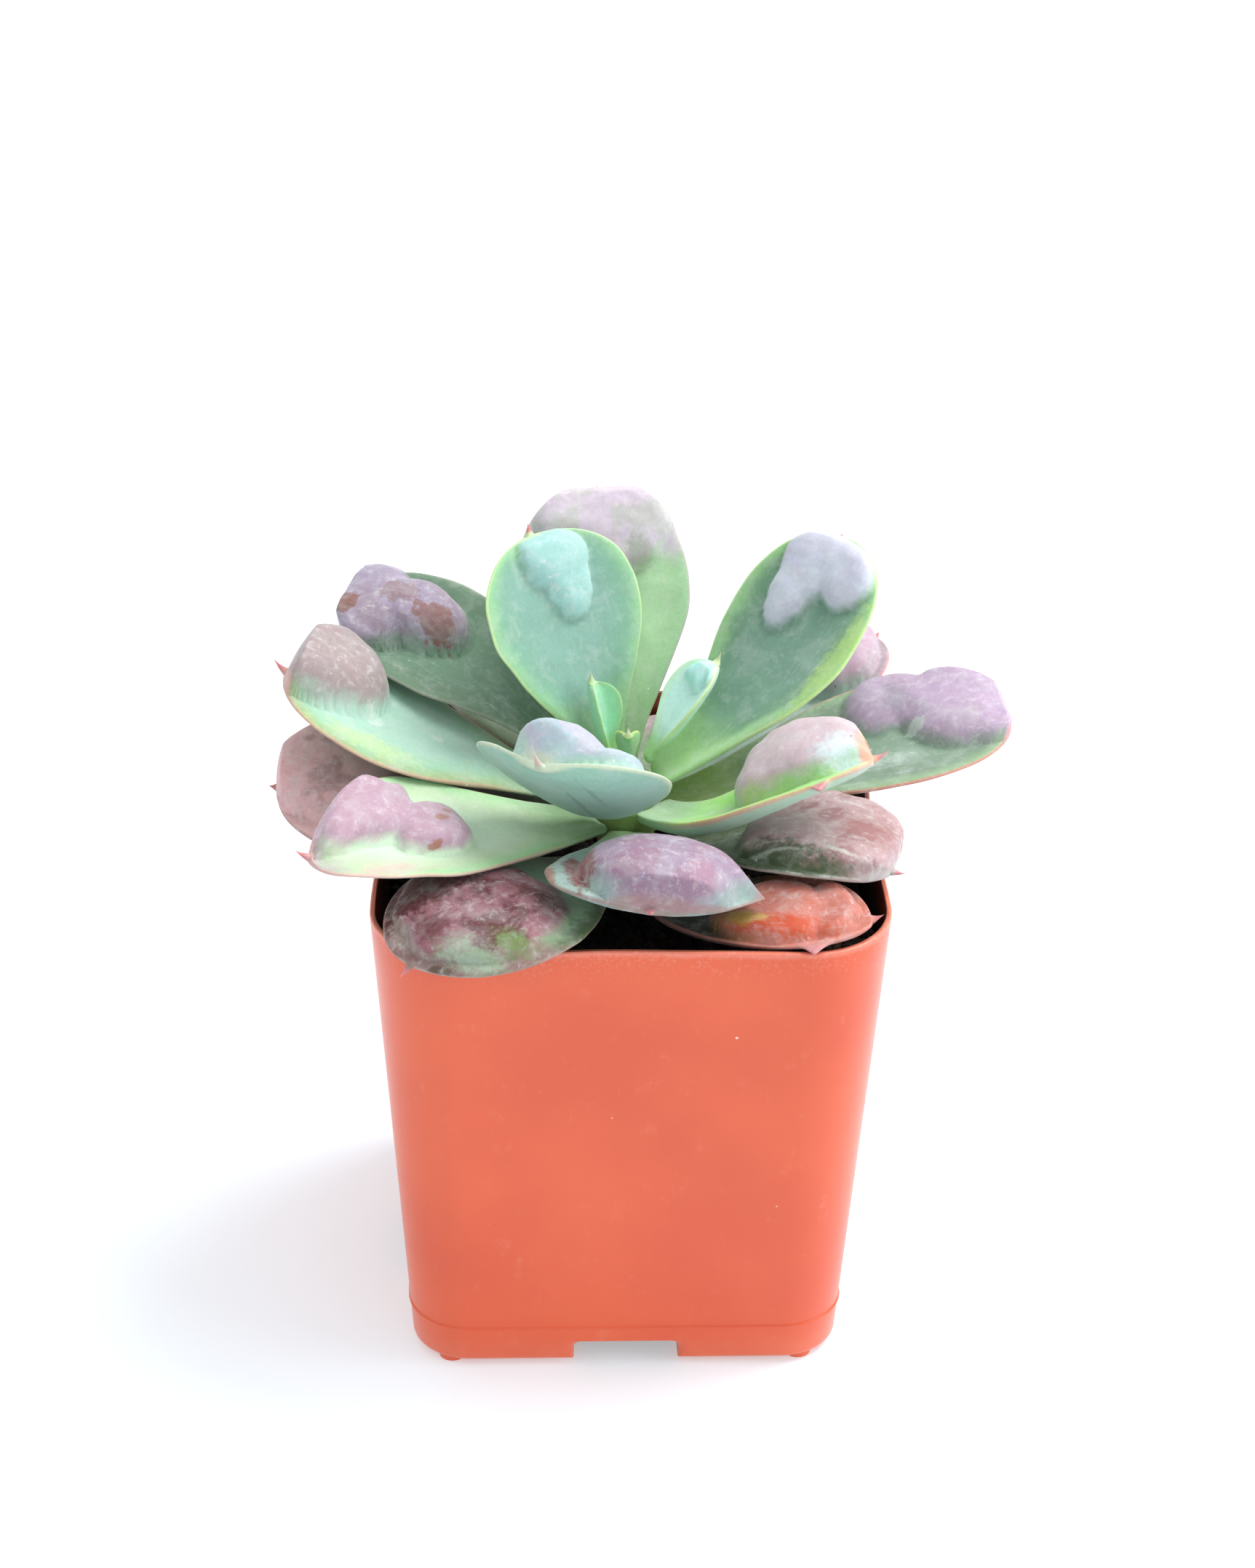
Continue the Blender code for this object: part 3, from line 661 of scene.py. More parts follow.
def blade_tree():
    """A leaf's skin: rings about a spine, closed at both ends, with lumps and a sharp tip, sized in mm."""
    sizes = dict(BLADE_SIZES)
    for i in range(1, MOST_LUMPS + 1):
        sizes[f"Lump {i} place"] = ("Vector", (0.8, 0.0, 0.0))
        sizes[f"Lump {i} size"] = ("Vector", (5.0, 5.0, 0.0))
    g, given = geometry_tree("Leaf blade", sizes)
    spine = g.node("GeometryNodeMeshToCurve", None, {"Mesh": given["Geometry"]})
    counts = {"Vertices X": given["Rings"], "Vertices Y": given["Points round"]}
    grid = g.node("GeometryNodeMeshGrid", None, {"Size X": 1.0, "Size Y": 1.0, **counts}, "Mesh")
    place = g.parts(g.node("GeometryNodeInputPosition"))
    ring = place[0] + 0.5
    around = (place[1] + 0.5) * (2 * math.pi)

    # Where each point is on the blade: t along, v across, and which face
    t = g.math("SINE", g.within(ring / NIB_START) * (0.5 * math.pi)) ** 1.1
    nib = g.within((ring - NIB_START) / (1 - NIB_START))
    v = g.math("COSINE", around)
    upper = g.math("SINE", around) > 0.0
    flat = g.joined(t * given["Length"], v * 8.0, given["Seed"])

    # Outline
    shut = g.math("SQRT", g.within(ring / BASE_ROUND))
    wide = blade_width(g, given, t) * shut
    half = given["Right half"] + (given["Left half"] - given["Right half"]) * (v > 0.0)
    edge_wave = g.grain(g.joined(t * 3.2 + given["Seed"], g.math("SIGN", v), 0.0), 1.0, 1.0)
    half = half * (1.0 + (edge_wave - 0.5) * 0.22)
    nib_half = NIB_RADIUS * (1.0 - nib) ** 1.4
    reach = g.most(half * wide, nib_half * shut)

    # Lumps and unevenness
    height, swell = blade_lumps(g, given, flat, t, v, half, wide)
    height = height * g.math("SQRT", g.within((1.0 - abs(v)) * 11.0))
    height = height * g.math("SQRT", g.within((1.0 - t) * given["Length"] / 1.1)) * upper * shut
    waves = (g.grain(flat, 6.0, 2.0) - 0.5) * given["Unevenness"] * 2.4
    pimples = (g.grain(flat, 1.6, 2.0) - 0.5) * given["Unevenness"] * (0.25 + 0.5 * g.within(swell * 4.0))

    # Cross-section
    body = (1.0 - abs(v) ** 2.4) ** 0.5
    deep = given["Thickness"] * (0.55 + 0.45 * (1.0 - t)) * g.least(1.0, wide * 1.6)
    deep = g.most(deep, nib_half * 1.6 * shut)
    lift = given["Curl"] * wide * v * v + body * deep * (upper - 0.6)
    lift = lift + height + body * g.least(1.0, wide * 2.0) * (waves + pimples) * (0.4 + 0.6 * upper)
    lift = lift + nib * nib * given["Point"] * 0.25

    # Horn on a margin
    along, horn_size, horn_width = g.parts(given["Horn"])
    near = g.within(1.0 - abs(t - along) * given["Length"] / horn_width) ** 1.5
    near = near * abs(v) ** 10.0 * (v * horn_size > 0.0)

    # Place on the spine
    settings = {"data_type": "FLOAT_VECTOR", "mode": "FACTOR"}
    samples = {}
    for name in ("left", "up", "along"):
        values = {"Curves": spine, "Value": g.named(name), "Factor": t}
        found = g.node("GeometryNodeSampleCurve", settings, values, ("Value", "Position"))
        samples[name], samples["spot"] = found
    lean = g.parts(given["Lean"])
    side = v * reach + height * lean[1] + given["Veer"] * t ** 7.0 + near * horn_size
    ahead = nib * given["Point"] + height * lean[0]
    spot = g.vector("ADD", samples["spot"], g.sized(samples["left"], side * MM))
    spot = g.vector("ADD", spot, g.sized(samples["up"], lift * MM))
    spot = g.vector("ADD", spot, g.sized(samples["along"], ahead * MM))

    # What the finish reads
    nib = g.most(nib, near * given["Horn tint"])
    margin = g.least(reach * (1.0 - abs(v)), (1.0 - t) * given["Length"])
    skin = grid
    marks = {"blade_t": t, "upper": upper, "swell": swell, "nib": nib, "margin": margin}
    for name, value in marks.items():
        skin = g.store(skin, name, value)
    flat = g.joined(t * given["Length"], v * reach, given["Seed"] * 10.0)
    skin = g.store(skin, "flat", flat, "FLOAT_VECTOR")
    skin = g.node("GeometryNodeSetPosition", None, {"Geometry": skin, "Position": spot})
    skin = g.node("GeometryNodeMergeByDistance", None, {"Geometry": skin, "Distance": 0.002 * MM})
    skin = g.node("GeometryNodeSetShadeSmooth", None, {"Geometry": skin, "Shade Smooth": True})
    return close_tree(g, skin, given["Finish"])


def outward(obj):
    """Point every face of a closed mesh outwards."""
    bm = bmesh.new()
    bm.from_mesh(obj.data)
    bmesh.ops.recalc_face_normals(bm, faces=bm.faces)
    bm.to_mesh(obj.data)
    bm.free()


def keep(obj, nodes):
    """Hand a finished piece to the frame, in place of its CAD node."""
    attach(obj, BODY)
    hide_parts(*nodes)


# ---------------------------------------------------------------- finishes


def new_material(name):
    """A material and the graph of its nodes, emptied."""
    made = bpy.data.materials.new(name)
    made.use_nodes = True
    made.node_tree.nodes.clear()
    return made, Graph(made.node_tree)


def close_material(graph, values):
    """End a material in a Principled shader with these sockets."""
    shader = graph.node("ShaderNodeBsdfPrincipled", None, values, "BSDF")
    graph.node("ShaderNodeOutputMaterial", None, {"Surface": shader}, None)


def bump(graph, height, strength, distance):
    values = {"Strength": strength, "Distance": distance, "Height": height}
    return graph.node("ShaderNodeBump", None, values, "Normal")


def specks(graph, place, size, radius, share):
    """Small round dots, one in some of the cells of a given size: a mask."""
    values = {"Vector": place, "Scale": 1 / size, "Randomness": 1.0}
    far, pick = graph.node("ShaderNodeTexVoronoi", {"feature": "F1"}, values, ("Distance", "Color"))
    chosen = graph.parts(pick)
    reach = (radius / size) * (0.4 + 0.6 * chosen[1])
    return (1.0 - graph.smooth(far / reach, 0.7, 1.2)) * (chosen[0] < share)


class Skin:
    """What a leaf's finish reads over its skin: where each point is on it, and grains of several sizes."""

    def __init__(self, g):
        self.place = g.place()
        self.flat = g.attribute("flat", "Vector")
        self.along = g.attribute("blade_t")
        self.upper = g.attribute("upper")
        self.swell = g.attribute("swell")
        self.nib = g.attribute("nib")
        self.margin = g.attribute("margin")
        self.broad = g.grain(self.place, 6.0 * MM, 3.0)
        self.patch = g.grain(self.place, 2.6 * MM, 4.0, 0.6)
        self.fine = g.grain(self.place, 0.5 * MM, 4.0, 0.65)
        self.streak = g.grain(g.vector("MULTIPLY", self.flat, (0.35, 1.6, 1.0)), 1.6, 4.0, 0.7)


def flesh(g, skin, look, scale):
    """The blade's colour: the middle, a fringe along the margins, the underside and the base, which on two
    low leaves is painted shade.
    """
    inner = g.smooth(skin.margin + 4.0 * (skin.broad - 0.5), 1.5, 5.5)
    colour = g.mix(inner, tone(look.flesh), tone(look.middle))
    fringe = 1.0 - g.smooth(skin.margin + 2.5 * scale * (skin.patch - 0.5), 0.1 * scale, 2.6 * scale)
    colour = g.mix(fringe * 0.7, colour, tone(look.fringe))
    colour = g.mix((1.0 - skin.upper) * 0.85, colour, tone(look.under))
    # Towards the stem the base's colour takes over; on two low leaves it is painted shade.
    past_base = g.smooth(skin.along + 0.12 * (skin.patch - 0.5), look.rooted - 0.24, look.rooted)
    return g.mix(1.0 - past_base, colour, tone(look.base))


def blushed(g, skin, look, colour):
    """The colour under the lumps' mottled one, and under the blush towards the tip."""
    bruised = g.smooth(skin.broad + 0.35 * (skin.patch - 0.5), 0.5, 0.6) * look.bruising
    lump = g.mix(bruised, tone(look.lump), tone(look.bruise))
    mottle = g.grain(skin.place, 1.1 * MM, 4.0, 0.7, 0.4)
    lump = g.mix(g.smooth(mottle, 0.5, 0.72) * 0.4, lump, tone("EDE6EA"))
    lump = g.mix(g.smooth(0.5 - mottle, 0.02, 0.2) * 0.22, lump, tone(look.bruise))
    edge = skin.swell + 0.22 * (skin.patch - 0.5) + 0.05 * (skin.fine - 0.5)
    on_lump = g.smooth(edge, -0.04, 0.16) * skin.upper
    if look.blush <= 1.0:
        at_tip = g.smooth(skin.along + 0.16 * (skin.patch - 0.5), look.blush - 0.05, look.blush + 0.07)
        on_lump = g.most(on_lump, at_tip * look.blushing)
    return g.mix(on_lump, colour, lump)


def marked(g, skin, leaf, colour):
    """The colour under the leaf's marks, whose outlines are torn."""
    if not leaf.marks:
        return colour
    torn = g.grain(skin.place, 0.9 * MM, 3.0, 0.65)
    for mark in leaf.marks:
        half = leaf.left if mark.across > 0 else leaf.right
        centre = (mark.along * leaf.length, mark.across * half, 0.0)
        squeeze = (1 / mark.length, 1 / mark.width, 0.0)
        shift = g.vector("MULTIPLY", g.vector("SUBTRACT", skin.flat, centre), squeeze)
        far = g.vector("LENGTH", shift, out="Value") + 0.9 * (skin.patch - 0.5) + 1.3 * (torn - 0.5)
        side = 1.0 - skin.upper if mark.below else skin.upper
        stain = (1.0 - g.smooth(far, 1.0 - mark.soft, 1.0)) * side * mark.depth
        colour = g.mix(g.least(stain * (0.5 + 0.9 * skin.fine), 1.0), colour, tone(mark.hue))
    return colour


def powdered(g, skin, look, props, colour):
    """The colour under powder, dust and specks, and as light as the leaf is deep."""
    dust = g.grain(skin.place, 1.7 * MM, 4.0, 0.7)
    cloud = g.grain(skin.place, 3.6 * MM, 3.0, 0.6, 0.6)
    colour = g.mix(g.smooth(dust, 0.52, 0.7) * 0.16, colour, props.powder)
    colour = g.mix(g.smooth(cloud, 0.46, 0.68) * 0.16, colour, props.powder)
    powder = g.smooth(skin.streak + 0.3 * (skin.fine - 0.5), 0.52, 0.75) * look.powder
    colour = g.mix(powder * 0.55, colour, props.powder)
    colour = g.mix(specks(g, skin.place, 2.2 * MM, 0.16 * MM, 0.35) * 0.7, colour, tone("E9EEE6"))
    colour = g.mix(specks(g, skin.place, 3.1 * MM, 0.13 * MM, 0.2) * 0.6, colour, tone("5A4A3C"))
    grit = g.grain(skin.place, 0.16 * MM, 1.0)
    shade = (0.73 + 0.26 * skin.fine + 0.14 * skin.patch + 0.14 * grit) * props.leaf_depth
    return g.tint(1.0, colour, g.joined(shade, shade, shade))


def leaf_material(leaf, props):
    """A leaf's powdery skin: coloured flesh, blushed lumps, a thin margin, marks, dust and specks."""
    look = leaf.look
    made, g = new_material(leaf.name)
    skin = Skin(g)
    scale = min(1.0, leaf.left / 8)
    colour = blushed(g, skin, look, flesh(g, skin, look, scale))
    line = 1.0 - g.smooth(skin.margin + 0.2 * (skin.patch - 0.5), 0.08 * scale, 0.42 * scale)
    line = line * g.smooth(skin.along, 0.12, 0.4)
    colour = marked(g, skin, leaf, g.mix(line * 0.65, colour, tone(look.margin)))
    sharp = g.smooth(skin.nib + 0.2 * (skin.patch - 0.5), 0.05, 0.45)
    colour = g.mix(sharp, colour, tone(look.nib))
    close_material(g, {
        "Base Color": powdered(g, skin, look, props, colour),
        "Roughness": 0.5 + 0.22 * skin.fine,
        "Normal": bump(g, skin.fine * 0.5 + skin.streak * 0.25 + skin.patch, 0.25, 0.12 * MM),
        "Subsurface Weight": 0.25,
        "Subsurface Radius": (1.0, 0.8, 0.5),
        "Subsurface Scale": 0.9 * MM,
        "Specular IOR Level": 0.35,
        "Sheen Weight": 0.12,
        "Sheen Roughness": 0.5,
    })
    return made


def pot_material(props):
    """Thin moulded plastic: an even colour, with scratches, scuffs and a dusty rim; painted light gives a
    pale line along the rim's top edge and a paler foot, and painted shade darkens the inside.
    """
    made, g = new_material("pot_plastic")
    place = g.place()
    z = g.parts(place)[2]
    broad = g.grain(place, 22 * MM, 3.0)
    patch = g.grain(place, 3.0 * MM, 5.0, 0.65)
    fine = g.grain(place, 0.4 * MM, 3.0, 0.6)
    hair = g.grain(g.vector("MULTIPLY", place, (1.0, 1.0, 0.12)), 0.7 * MM, 4.0, 0.7)
    slant = g.node("ShaderNodeMapping", None, {"Vector": place, "Rotation": (0.5, 0.9, 0.3)})
    scratch = g.grain(g.vector("MULTIPLY", slant, (1.0, 0.08, 0.08)), 0.35 * MM, 3.0, 0.7)
    drop = (RIM - z) / MM

    colour = g.mix(g.smooth(broad, 0.35, 0.7), props.pot_colour, props.pot_shade)
    colour = g.mix(g.smooth(patch + 0.4 * (hair - 0.5), 0.58, 0.8) * 0.16, colour, tone("E8937B"))
    colour = g.mix(g.smooth(scratch, 0.72, 0.8) * g.smooth(broad, 0.45, 0.6) * 0.5, colour, tone("F7BBA6"))
    # Painted highlight: a pale line along the rim's top edge.
    colour = g.mix((1.0 - g.smooth(drop + 1.2 * (patch - 0.5), 0.1, 0.9)) * 0.3, colour, tone("E9A796"))
    dusty = 1.0 - g.smooth(drop + 9.0 * (patch - 0.55), 0.5, 4.0)
    dusty = dusty * g.smooth(fine + 0.5 * (patch - 0.5), 0.5, 0.66)
    colour = g.mix(dusty * 0.1, colour, tone("F1D6CC"))
    colour = g.mix(specks(g, place, 4.5 * MM, 0.17 * MM, 0.4) * 0.8, colour, tone("FBE6DC"))
    colour = g.mix(specks(g, place, 6.0 * MM, 0.15 * MM, 0.25) * 0.5, colour, tone("8A3B28"))
    # Painted light: the pot is painted paler within a few mm of its foot, standing for light from the bright
    # floor.
    foot_light = g.smooth((z / MM - 8.0) * -0.12 + 0.6 * (patch - 0.5), 0.35, 0.9)
    colour = g.mix(foot_light * 0.5, colour, tone("DE6C4A"))
    # Painted shade: the pot's inner walls are painted nearly black, darker further below the rim.
    inner_shade = g.attribute("inside") * (0.7 + 0.27 * g.smooth(drop + 5.0 * (patch - 0.5), 0.3, 4.0))
    colour = g.mix(inner_shade, colour, tone("2A120B"))
    close_material(g, {
        "Base Color": colour,
        "Roughness": 0.26 + 0.14 * patch + 0.08 * broad,
        "Normal": bump(g, patch + 0.3 * fine + 2.0 * broad, 0.12, 0.15 * MM),
        "Specular IOR Level": 0.42,
        "Coat Weight": 0.4,
        "Coat Roughness": 0.3,
        "Subsurface Weight": 0.08,
        "Subsurface Radius": (1.0, 0.35, 0.2),
        "Subsurface Scale": 0.8 * MM,
    })
    return made


def mix_material(props):
    """Dark, damp peat, browner in its crumbs, with paler fibres."""
    made, g = new_material("potting_mix")
    place = g.place()
    patch = g.grain(place, 2.2 * MM, 4.0, 0.7)
    fine = g.grain(place, 0.35 * MM, 4.0, 0.7)
    kind = g.attribute("kind")
    colour = g.mix(g.smooth(patch, 0.35, 0.7), props.mix_colour, tone("1E140D"))
    colour = g.mix(g.smooth(fine, 0.55, 0.75) * 0.5, colour, tone("352418"))
    dry = g.smooth((g.parts(place)[2] - RIM) / MM, -5.5, -3.5) * g.smooth(patch, 0.45, 0.6)
    colour = g.mix(dry * 0.8, colour, tone("5E4733"))
    colour = g.mix(g.smooth(kind, 0.5, 0.9), colour, tone("9C7A52"))
    close_material(g, {
        "Base Color": colour,
        "Roughness": 0.85 + 0.1 * fine,
        "Normal": bump(g, fine + patch, 0.6, 0.3 * MM),
        "Specular IOR Level": 0.3,
    })
    return made


def stem_material(props):
    """Fleshy stem, green under the leaves and corky lower down, ringed with old leaf scars; its green is set
    a little dark, as painted shade among the leaves.
    """
    made, g = new_material("stem")
    place = g.place()
    z = g.parts(place)[2]
    patch = g.grain(place, 1.8 * MM, 4.0, 0.65)
    fine = g.grain(place, 0.3 * MM, 3.0, 0.6)
    height = (z - RIM) / MM + 3.0 * (patch - 0.5)
    colour = g.mix(g.smooth(height, -6.0, 1.0), tone("8A7350"), props.stem_colour)
    colour = g.mix(g.smooth(fine, 0.5, 0.75) * 0.4, colour, tone("B7BE8C"))
    colour = g.mix(g.smooth(patch, 0.6, 0.75) * 0.5, colour, tone("6A4B36"))
    close_material(g, {
        "Base Color": colour,
        "Roughness": 0.6 + 0.2 * fine,
        "Normal": bump(g, patch + fine, 0.4, 0.2 * MM),
        "Subsurface Weight": 0.15,
        "Subsurface Radius": (1.0, 0.8, 0.4),
        "Subsurface Scale": 1.0 * MM,
    })
    return made


# ---------------------------------------------------------------- pot, potting mix and stem

POT_TAPER = 0.846  # how wide the base is, as a share of the rim
RIM_CORNER = 1 / 6  # corner radii, as shares of the width
BASE_CORNER = 1 / 7.5
POT_WALL = 0.7 * MM
WALL_BOW = 0.8 * MM  # how far the walls draw in at the rim
RIM_SWAY = 0.35 * MM  # how far the thin rim strays from true
FOOT_CHAMFER = 0.7 * MM
PARTING_HEIGHT = 5.6 * MM
PARTING_BEAD = 0.16 * MM
WALL_LEVELS = 14
CORNER_STEPS = 18
SIDE_STEPS = 22
SHARP_ANGLE = 34  # edges that turn by more than this many degrees stay sharp

NUB_HEIGHT = 0.7 * MM
NUB_DIAMETER = 3 * MM
NUB_FROM_SIDE = 4.4 * MM  # from the base's left and right edges
NUB_FROM_FRONT = 2.5 * MM  # from its front and back edges
NUB_INTO_FOOT = 0.35 * MM

CHANNEL_WIDTH = 11.8 * MM
CHANNEL_HEIGHT = 2.5 * MM
CHANNEL_ROUND = 1.2 * MM
CHANNEL_FLARE = 1.3 * MM  # how the feet's corners turn in beside the channel
CHANNEL_TOP = NUB_HEIGHT + CHANNEL_HEIGHT
CHANNEL_OVERRUN = 0.3 * MM  # how far past the wall's face the flare ends
ROUND_STEPS = 8

CENTRE_DRAIN = 7 * MM
SIDE_DRAIN = 5 * MM
DRAIN_REACH = 14.5 * MM  # from the pot's axis to the side drains
DRAIN_CUT = 6 * MM


def pot_size_at(height):
    """The pot's half width, corner radius and inward bow at a height."""
    share = (height - NUB_HEIGHT) / (RIM - NUB_HEIGHT)
    half = 0.5 * POT_WIDTH * (POT_TAPER + (1 - POT_TAPER) * share)
    low, high = POT_TAPER * BASE_CORNER, RIM_CORNER
    corner = POT_WIDTH * (low + (high - low) * share)
    return half, corner, WALL_BOW * max(0.0, share) ** 2


def square_ring(height, inset):
    """Points round the pot's bowed, round-cornered square section, drawn in by `inset`."""
    half, corner, bow = pot_size_at(height)
    half -= inset
    corner = max(0.5 * MM, corner - inset)
    flat = half - corner
    points = []
    for side in range(4):
        turn = Matrix.Rotation(math.radians(90 * side), 2)
        local = []
        for i in range(1, SIDE_STEPS):
            y = flat * (2 * i / SIDE_STEPS - 1)
            local.append(Vector((half - bow * (1 - (y / flat) ** 2) ** 2, y)))
        for i in range(CORNER_STEPS + 1):
            angle = math.radians(90 * i / CORNER_STEPS)
            local.append(Vector((flat + corner * math.cos(angle), flat + corner * math.sin(angle))))
        points += [turn @ p for p in local]
    placed = []
    for p in points:
        out = p.normalized()
        stray = noise.noise(Vector((out.x * 2.1, out.y * 2.1, height * 30)))
        sway = RIM_SWAY * (height / RIM) ** 2 * stray
        placed.append(Vector((POT_X + p.x + out.x * sway, POT_Y + p.y + out.y * sway, height)))
    return placed


def skin_rings(rings):
    """A closed skin over a stack of rings, bottom to top."""
    bm = bmesh.new()
    made = [[bm.verts.new(p) for p in ring] for ring in rings]
    for low, high in zip(made, made[1:]):
        for k in range(len(low)):
            n = (k + 1) % len(low)
            bm.faces.new((low[k], low[n], high[n], high[k]))
    bm.faces.new(list(reversed(made[0])))
    bm.faces.new(made[-1])
    bmesh.ops.recalc_face_normals(bm, faces=bm.faces)
    return bm


def add_object(name, bm, finish=None):
    mesh = bpy.data.meshes.new(name)
    bm.to_mesh(mesh)
    bm.free()
    obj = bpy.data.objects.new(name, mesh)
    if finish:
        obj.data.materials.append(finish)
    bpy.context.scene.collection.objects.link(obj)
    return obj


def combine(obj, tool, operation):
    """Cut or join with another shape, and apply it."""
    modifier = obj.modifiers.new(tool.name, "BOOLEAN")
    modifier.operation = operation
    modifier.solver = "EXACT"
    modifier.object = tool
    keep_evaluated(obj)
    bpy.data.objects.remove(tool)


def channel_object(extra, angle):
    """One arm of the cross channel, flared where it meets the walls, and `extra` bigger all round."""
    mouth = 0.5 * POT_WIDTH * POT_TAPER + CHANNEL_OVERRUN
    stations = [(0.0, 0.0)]
    for degrees in range(0, 91, 15):
        ahead = 1 - math.cos(math.radians(degrees))
        flare = CHANNEL_FLARE * (1 - math.sqrt(1 - ahead**2))
        stations.append((mouth - CHANNEL_FLARE * (1 - ahead), flare))
    stations.append((0.6 * POT_WIDTH, CHANNEL_FLARE))
    stations = [(-x, flare) for x, flare in reversed(stations[1:])] + stations
    rings = []
    for x, flare in stations:
        half = 0.5 * CHANNEL_WIDTH + extra + flare
        top = CHANNEL_TOP + extra + 0.3 * flare
        turn = CHANNEL_ROUND + extra
        profile = [(half, -MM)]
        for i in range(ROUND_STEPS + 1):
            bend = math.radians(90 * i / ROUND_STEPS)
            profile.append((half - turn + turn * math.cos(bend), top - turn + turn * math.sin(bend)))
        profile += [(-y, z) for y, z in reversed(profile)]
        rings.append([Vector((x, y, z)) for y, z in profile])
    bm = skin_rings(rings)
    place = Matrix.Translation((POT_X, POT_Y, 0)) @ Matrix.Rotation(math.radians(angle), 4, "Z")
    bmesh.ops.transform(bm, verts=bm.verts, matrix=place)
    return add_object("channel", bm)


def pins_object(places, height, low):
    """Upright round pins: (x, y, diameter) for each."""
    bm = bmesh.new()
    for x, y, across in places:
        centre = Matrix.Translation((POT_X + x, POT_Y + y, low + 0.5 * height))
        bmesh.ops.create_cone(bm, cap_ends=True, segments=32, radius1=across / 2, radius2=across / 2,
                              depth=height, matrix=centre)
    return add_object("pins", bm)


def mark_inside(mesh, floor):
    """Say which of the pot's vertices are on its inner side, for the painted shade inside the pot."""
    marks = mesh.attributes.new("inside", "FLOAT", "POINT")
    for vertex, mark in zip(mesh.vertices, marks.data):
        x, y, z = vertex.co
        deep = pot_size_at(z)[0] - max(abs(x - POT_X), abs(y - POT_Y))
        facing = vertex.normal.x * (x - POT_X) + vertex.normal.y * (y - POT_Y)
        mark.value = float(z > floor and facing < 0.0 and deep > 0.3 * POT_WALL)


def pot_outside():
    """The pot's outer skin: (height, inset) for each ring, from its chamfered foot to its rounded rim."""
    foot = NUB_HEIGHT
    levels = [(foot + FOOT_CHAMFER * (1 - math.cos(a)), FOOT_CHAMFER * (1 - math.sin(a)))
              for a in (0.0, 0.4, 0.8, 1.2, 1.5708)]
    levels.append((PARTING_HEIGHT - PARTING_BEAD, 0.0))
    levels.append((PARTING_HEIGHT, -PARTING_BEAD))
    levels.append((PARTING_HEIGHT + PARTING_BEAD, 0.0))
    levels += [(foot + (RIM - foot) * i / WALL_LEVELS, 0.0) for i in range(2, WALL_LEVELS)]
    return levels + [(RIM - 0.3 * MM, 0.0), (RIM - 0.1 * MM, 0.06 * MM), (RIM, 0.2 * MM)]


def pot_inside(floor):
    """The pot's hollow, from its floor to just above its rim, in the same way."""
    foot = NUB_HEIGHT
    levels = [(floor, POT_WALL + FOOT_CHAMFER), (floor + FOOT_CHAMFER, POT_WALL)]
    levels += [(foot + (RIM - foot) * i / WALL_LEVELS, POT_WALL) for i in range(2, WALL_LEVELS)]
    return levels + [(RIM - 0.2 * MM, POT_WALL - 0.02 * MM), (RIM + MM, POT_WALL - 0.5 * MM)]


def build_pot_mesh(finish):
    """A thin cup on four hollow feet, with a cross channel and drain holes under its floor."""
    floor = NUB_HEIGHT + POT_WALL
    pot = add_object("pot_body", skin_rings([square_ring(*level) for level in pot_outside()]), finish)
    for angle in (0, 90):
        combine(pot, channel_object(0.0, angle), "DIFFERENCE")
    hollow = add_object("hollow", skin_rings([square_ring(*level) for level in pot_inside(floor)]))
    for angle in (0, 90):
        combine(hollow, channel_object(POT_WALL, angle), "DIFFERENCE")
    combine(pot, hollow, "DIFFERENCE")
    drains = [(0.0, 0.0, CENTRE_DRAIN)]
    drains += [(x * DRAIN_REACH, y * DRAIN_REACH, SIDE_DRAIN) for x, y in ((1, 0), (0, 1), (-1, 0), (0, -1))]
    combine(pot, pins_object(drains, DRAIN_CUT, CHANNEL_TOP - 0.5 * DRAIN_CUT), "DIFFERENCE")
    half = 0.5 * POT_WIDTH * POT_TAPER
    wide, deep = half - NUB_FROM_SIDE, half - NUB_FROM_FRONT
    nubs = [(x, y, NUB_DIAMETER) for x in (-wide, wide) for y in (-deep, deep)]
    combine(pot, pins_object(nubs, NUB_HEIGHT + NUB_INTO_FOOT, 0.0), "UNION")
    pot.data.name = "pot_body"
    mark_inside(pot.data, floor)
    pot.data.shade_smooth()
    pot.data.set_sharp_from_angle(angle=math.radians(SHARP_ANGLE))
    return pot


BED_GAP = POT_WALL + 0.3 * MM  # from the pot's outer face
BED_DEPTH = 7 * MM  # below the rim, along the walls
BED_STEPS = 26
HEAP = (25 * MM, -24 * MM)  # the middle of the heap, from the pot's axis
HEAP_REACH = 14 * MM
HEAP_HEIGHT = 4.2 * MM
FULL_TURN = 6.28


def bed_height(x, y):
    """The potting mix's surface: low at the left and front, heaped against the right front corner."""
    high = RIM - BED_DEPTH + 1.2 * MM * noise.noise(Vector((x, y, 0.0)) * 120)
    high += 0.7 * MM * noise.noise(Vector((x, y, 4.0)) * 400)
    far = math.hypot(x - HEAP[0], y - HEAP[1]) / HEAP_REACH
    return high + HEAP_HEIGHT * max(0.0, 1 - far) ** 1.2


def build_bed():
    """The block of potting mix, its top a fine uneven grid that follows the pot's round corners."""
    rings = [square_ring(CHANNEL_TOP + POT_WALL + MM, BED_GAP), square_ring(RIM - 12 * MM, BED_GAP)]
    brim = square_ring(RIM - BED_DEPTH, BED_GAP + 0.25 * MM)
    for i in range(BED_STEPS):
        share = 1 - i / BED_STEPS
        ring = []
        for p in brim:
            x, y = (p.x - POT_X) * share, (p.y - POT_Y) * share
            ring.append(Vector((POT_X + x, POT_Y + y, bed_height(x, y))))
        rings.append(ring)
    return add_object("bed", skin_rings(rings))


def crumb_shape(g):
    """A dented pebble of radius 1."""
    ball = g.node("GeometryNodeMeshIcoSphere", None, {"Radius": 1.0, "Subdivisions": 1}, "Mesh")
    dent = g.grain(g.node("GeometryNodeInputPosition"), 1.0, 2.0)
    offset = g.sized(g.node("GeometryNodeInputNormal"), (dent - 0.5) * 0.9)
    return g.node("GeometryNodeSetPosition", None, {"Geometry": ball, "Offset": offset})


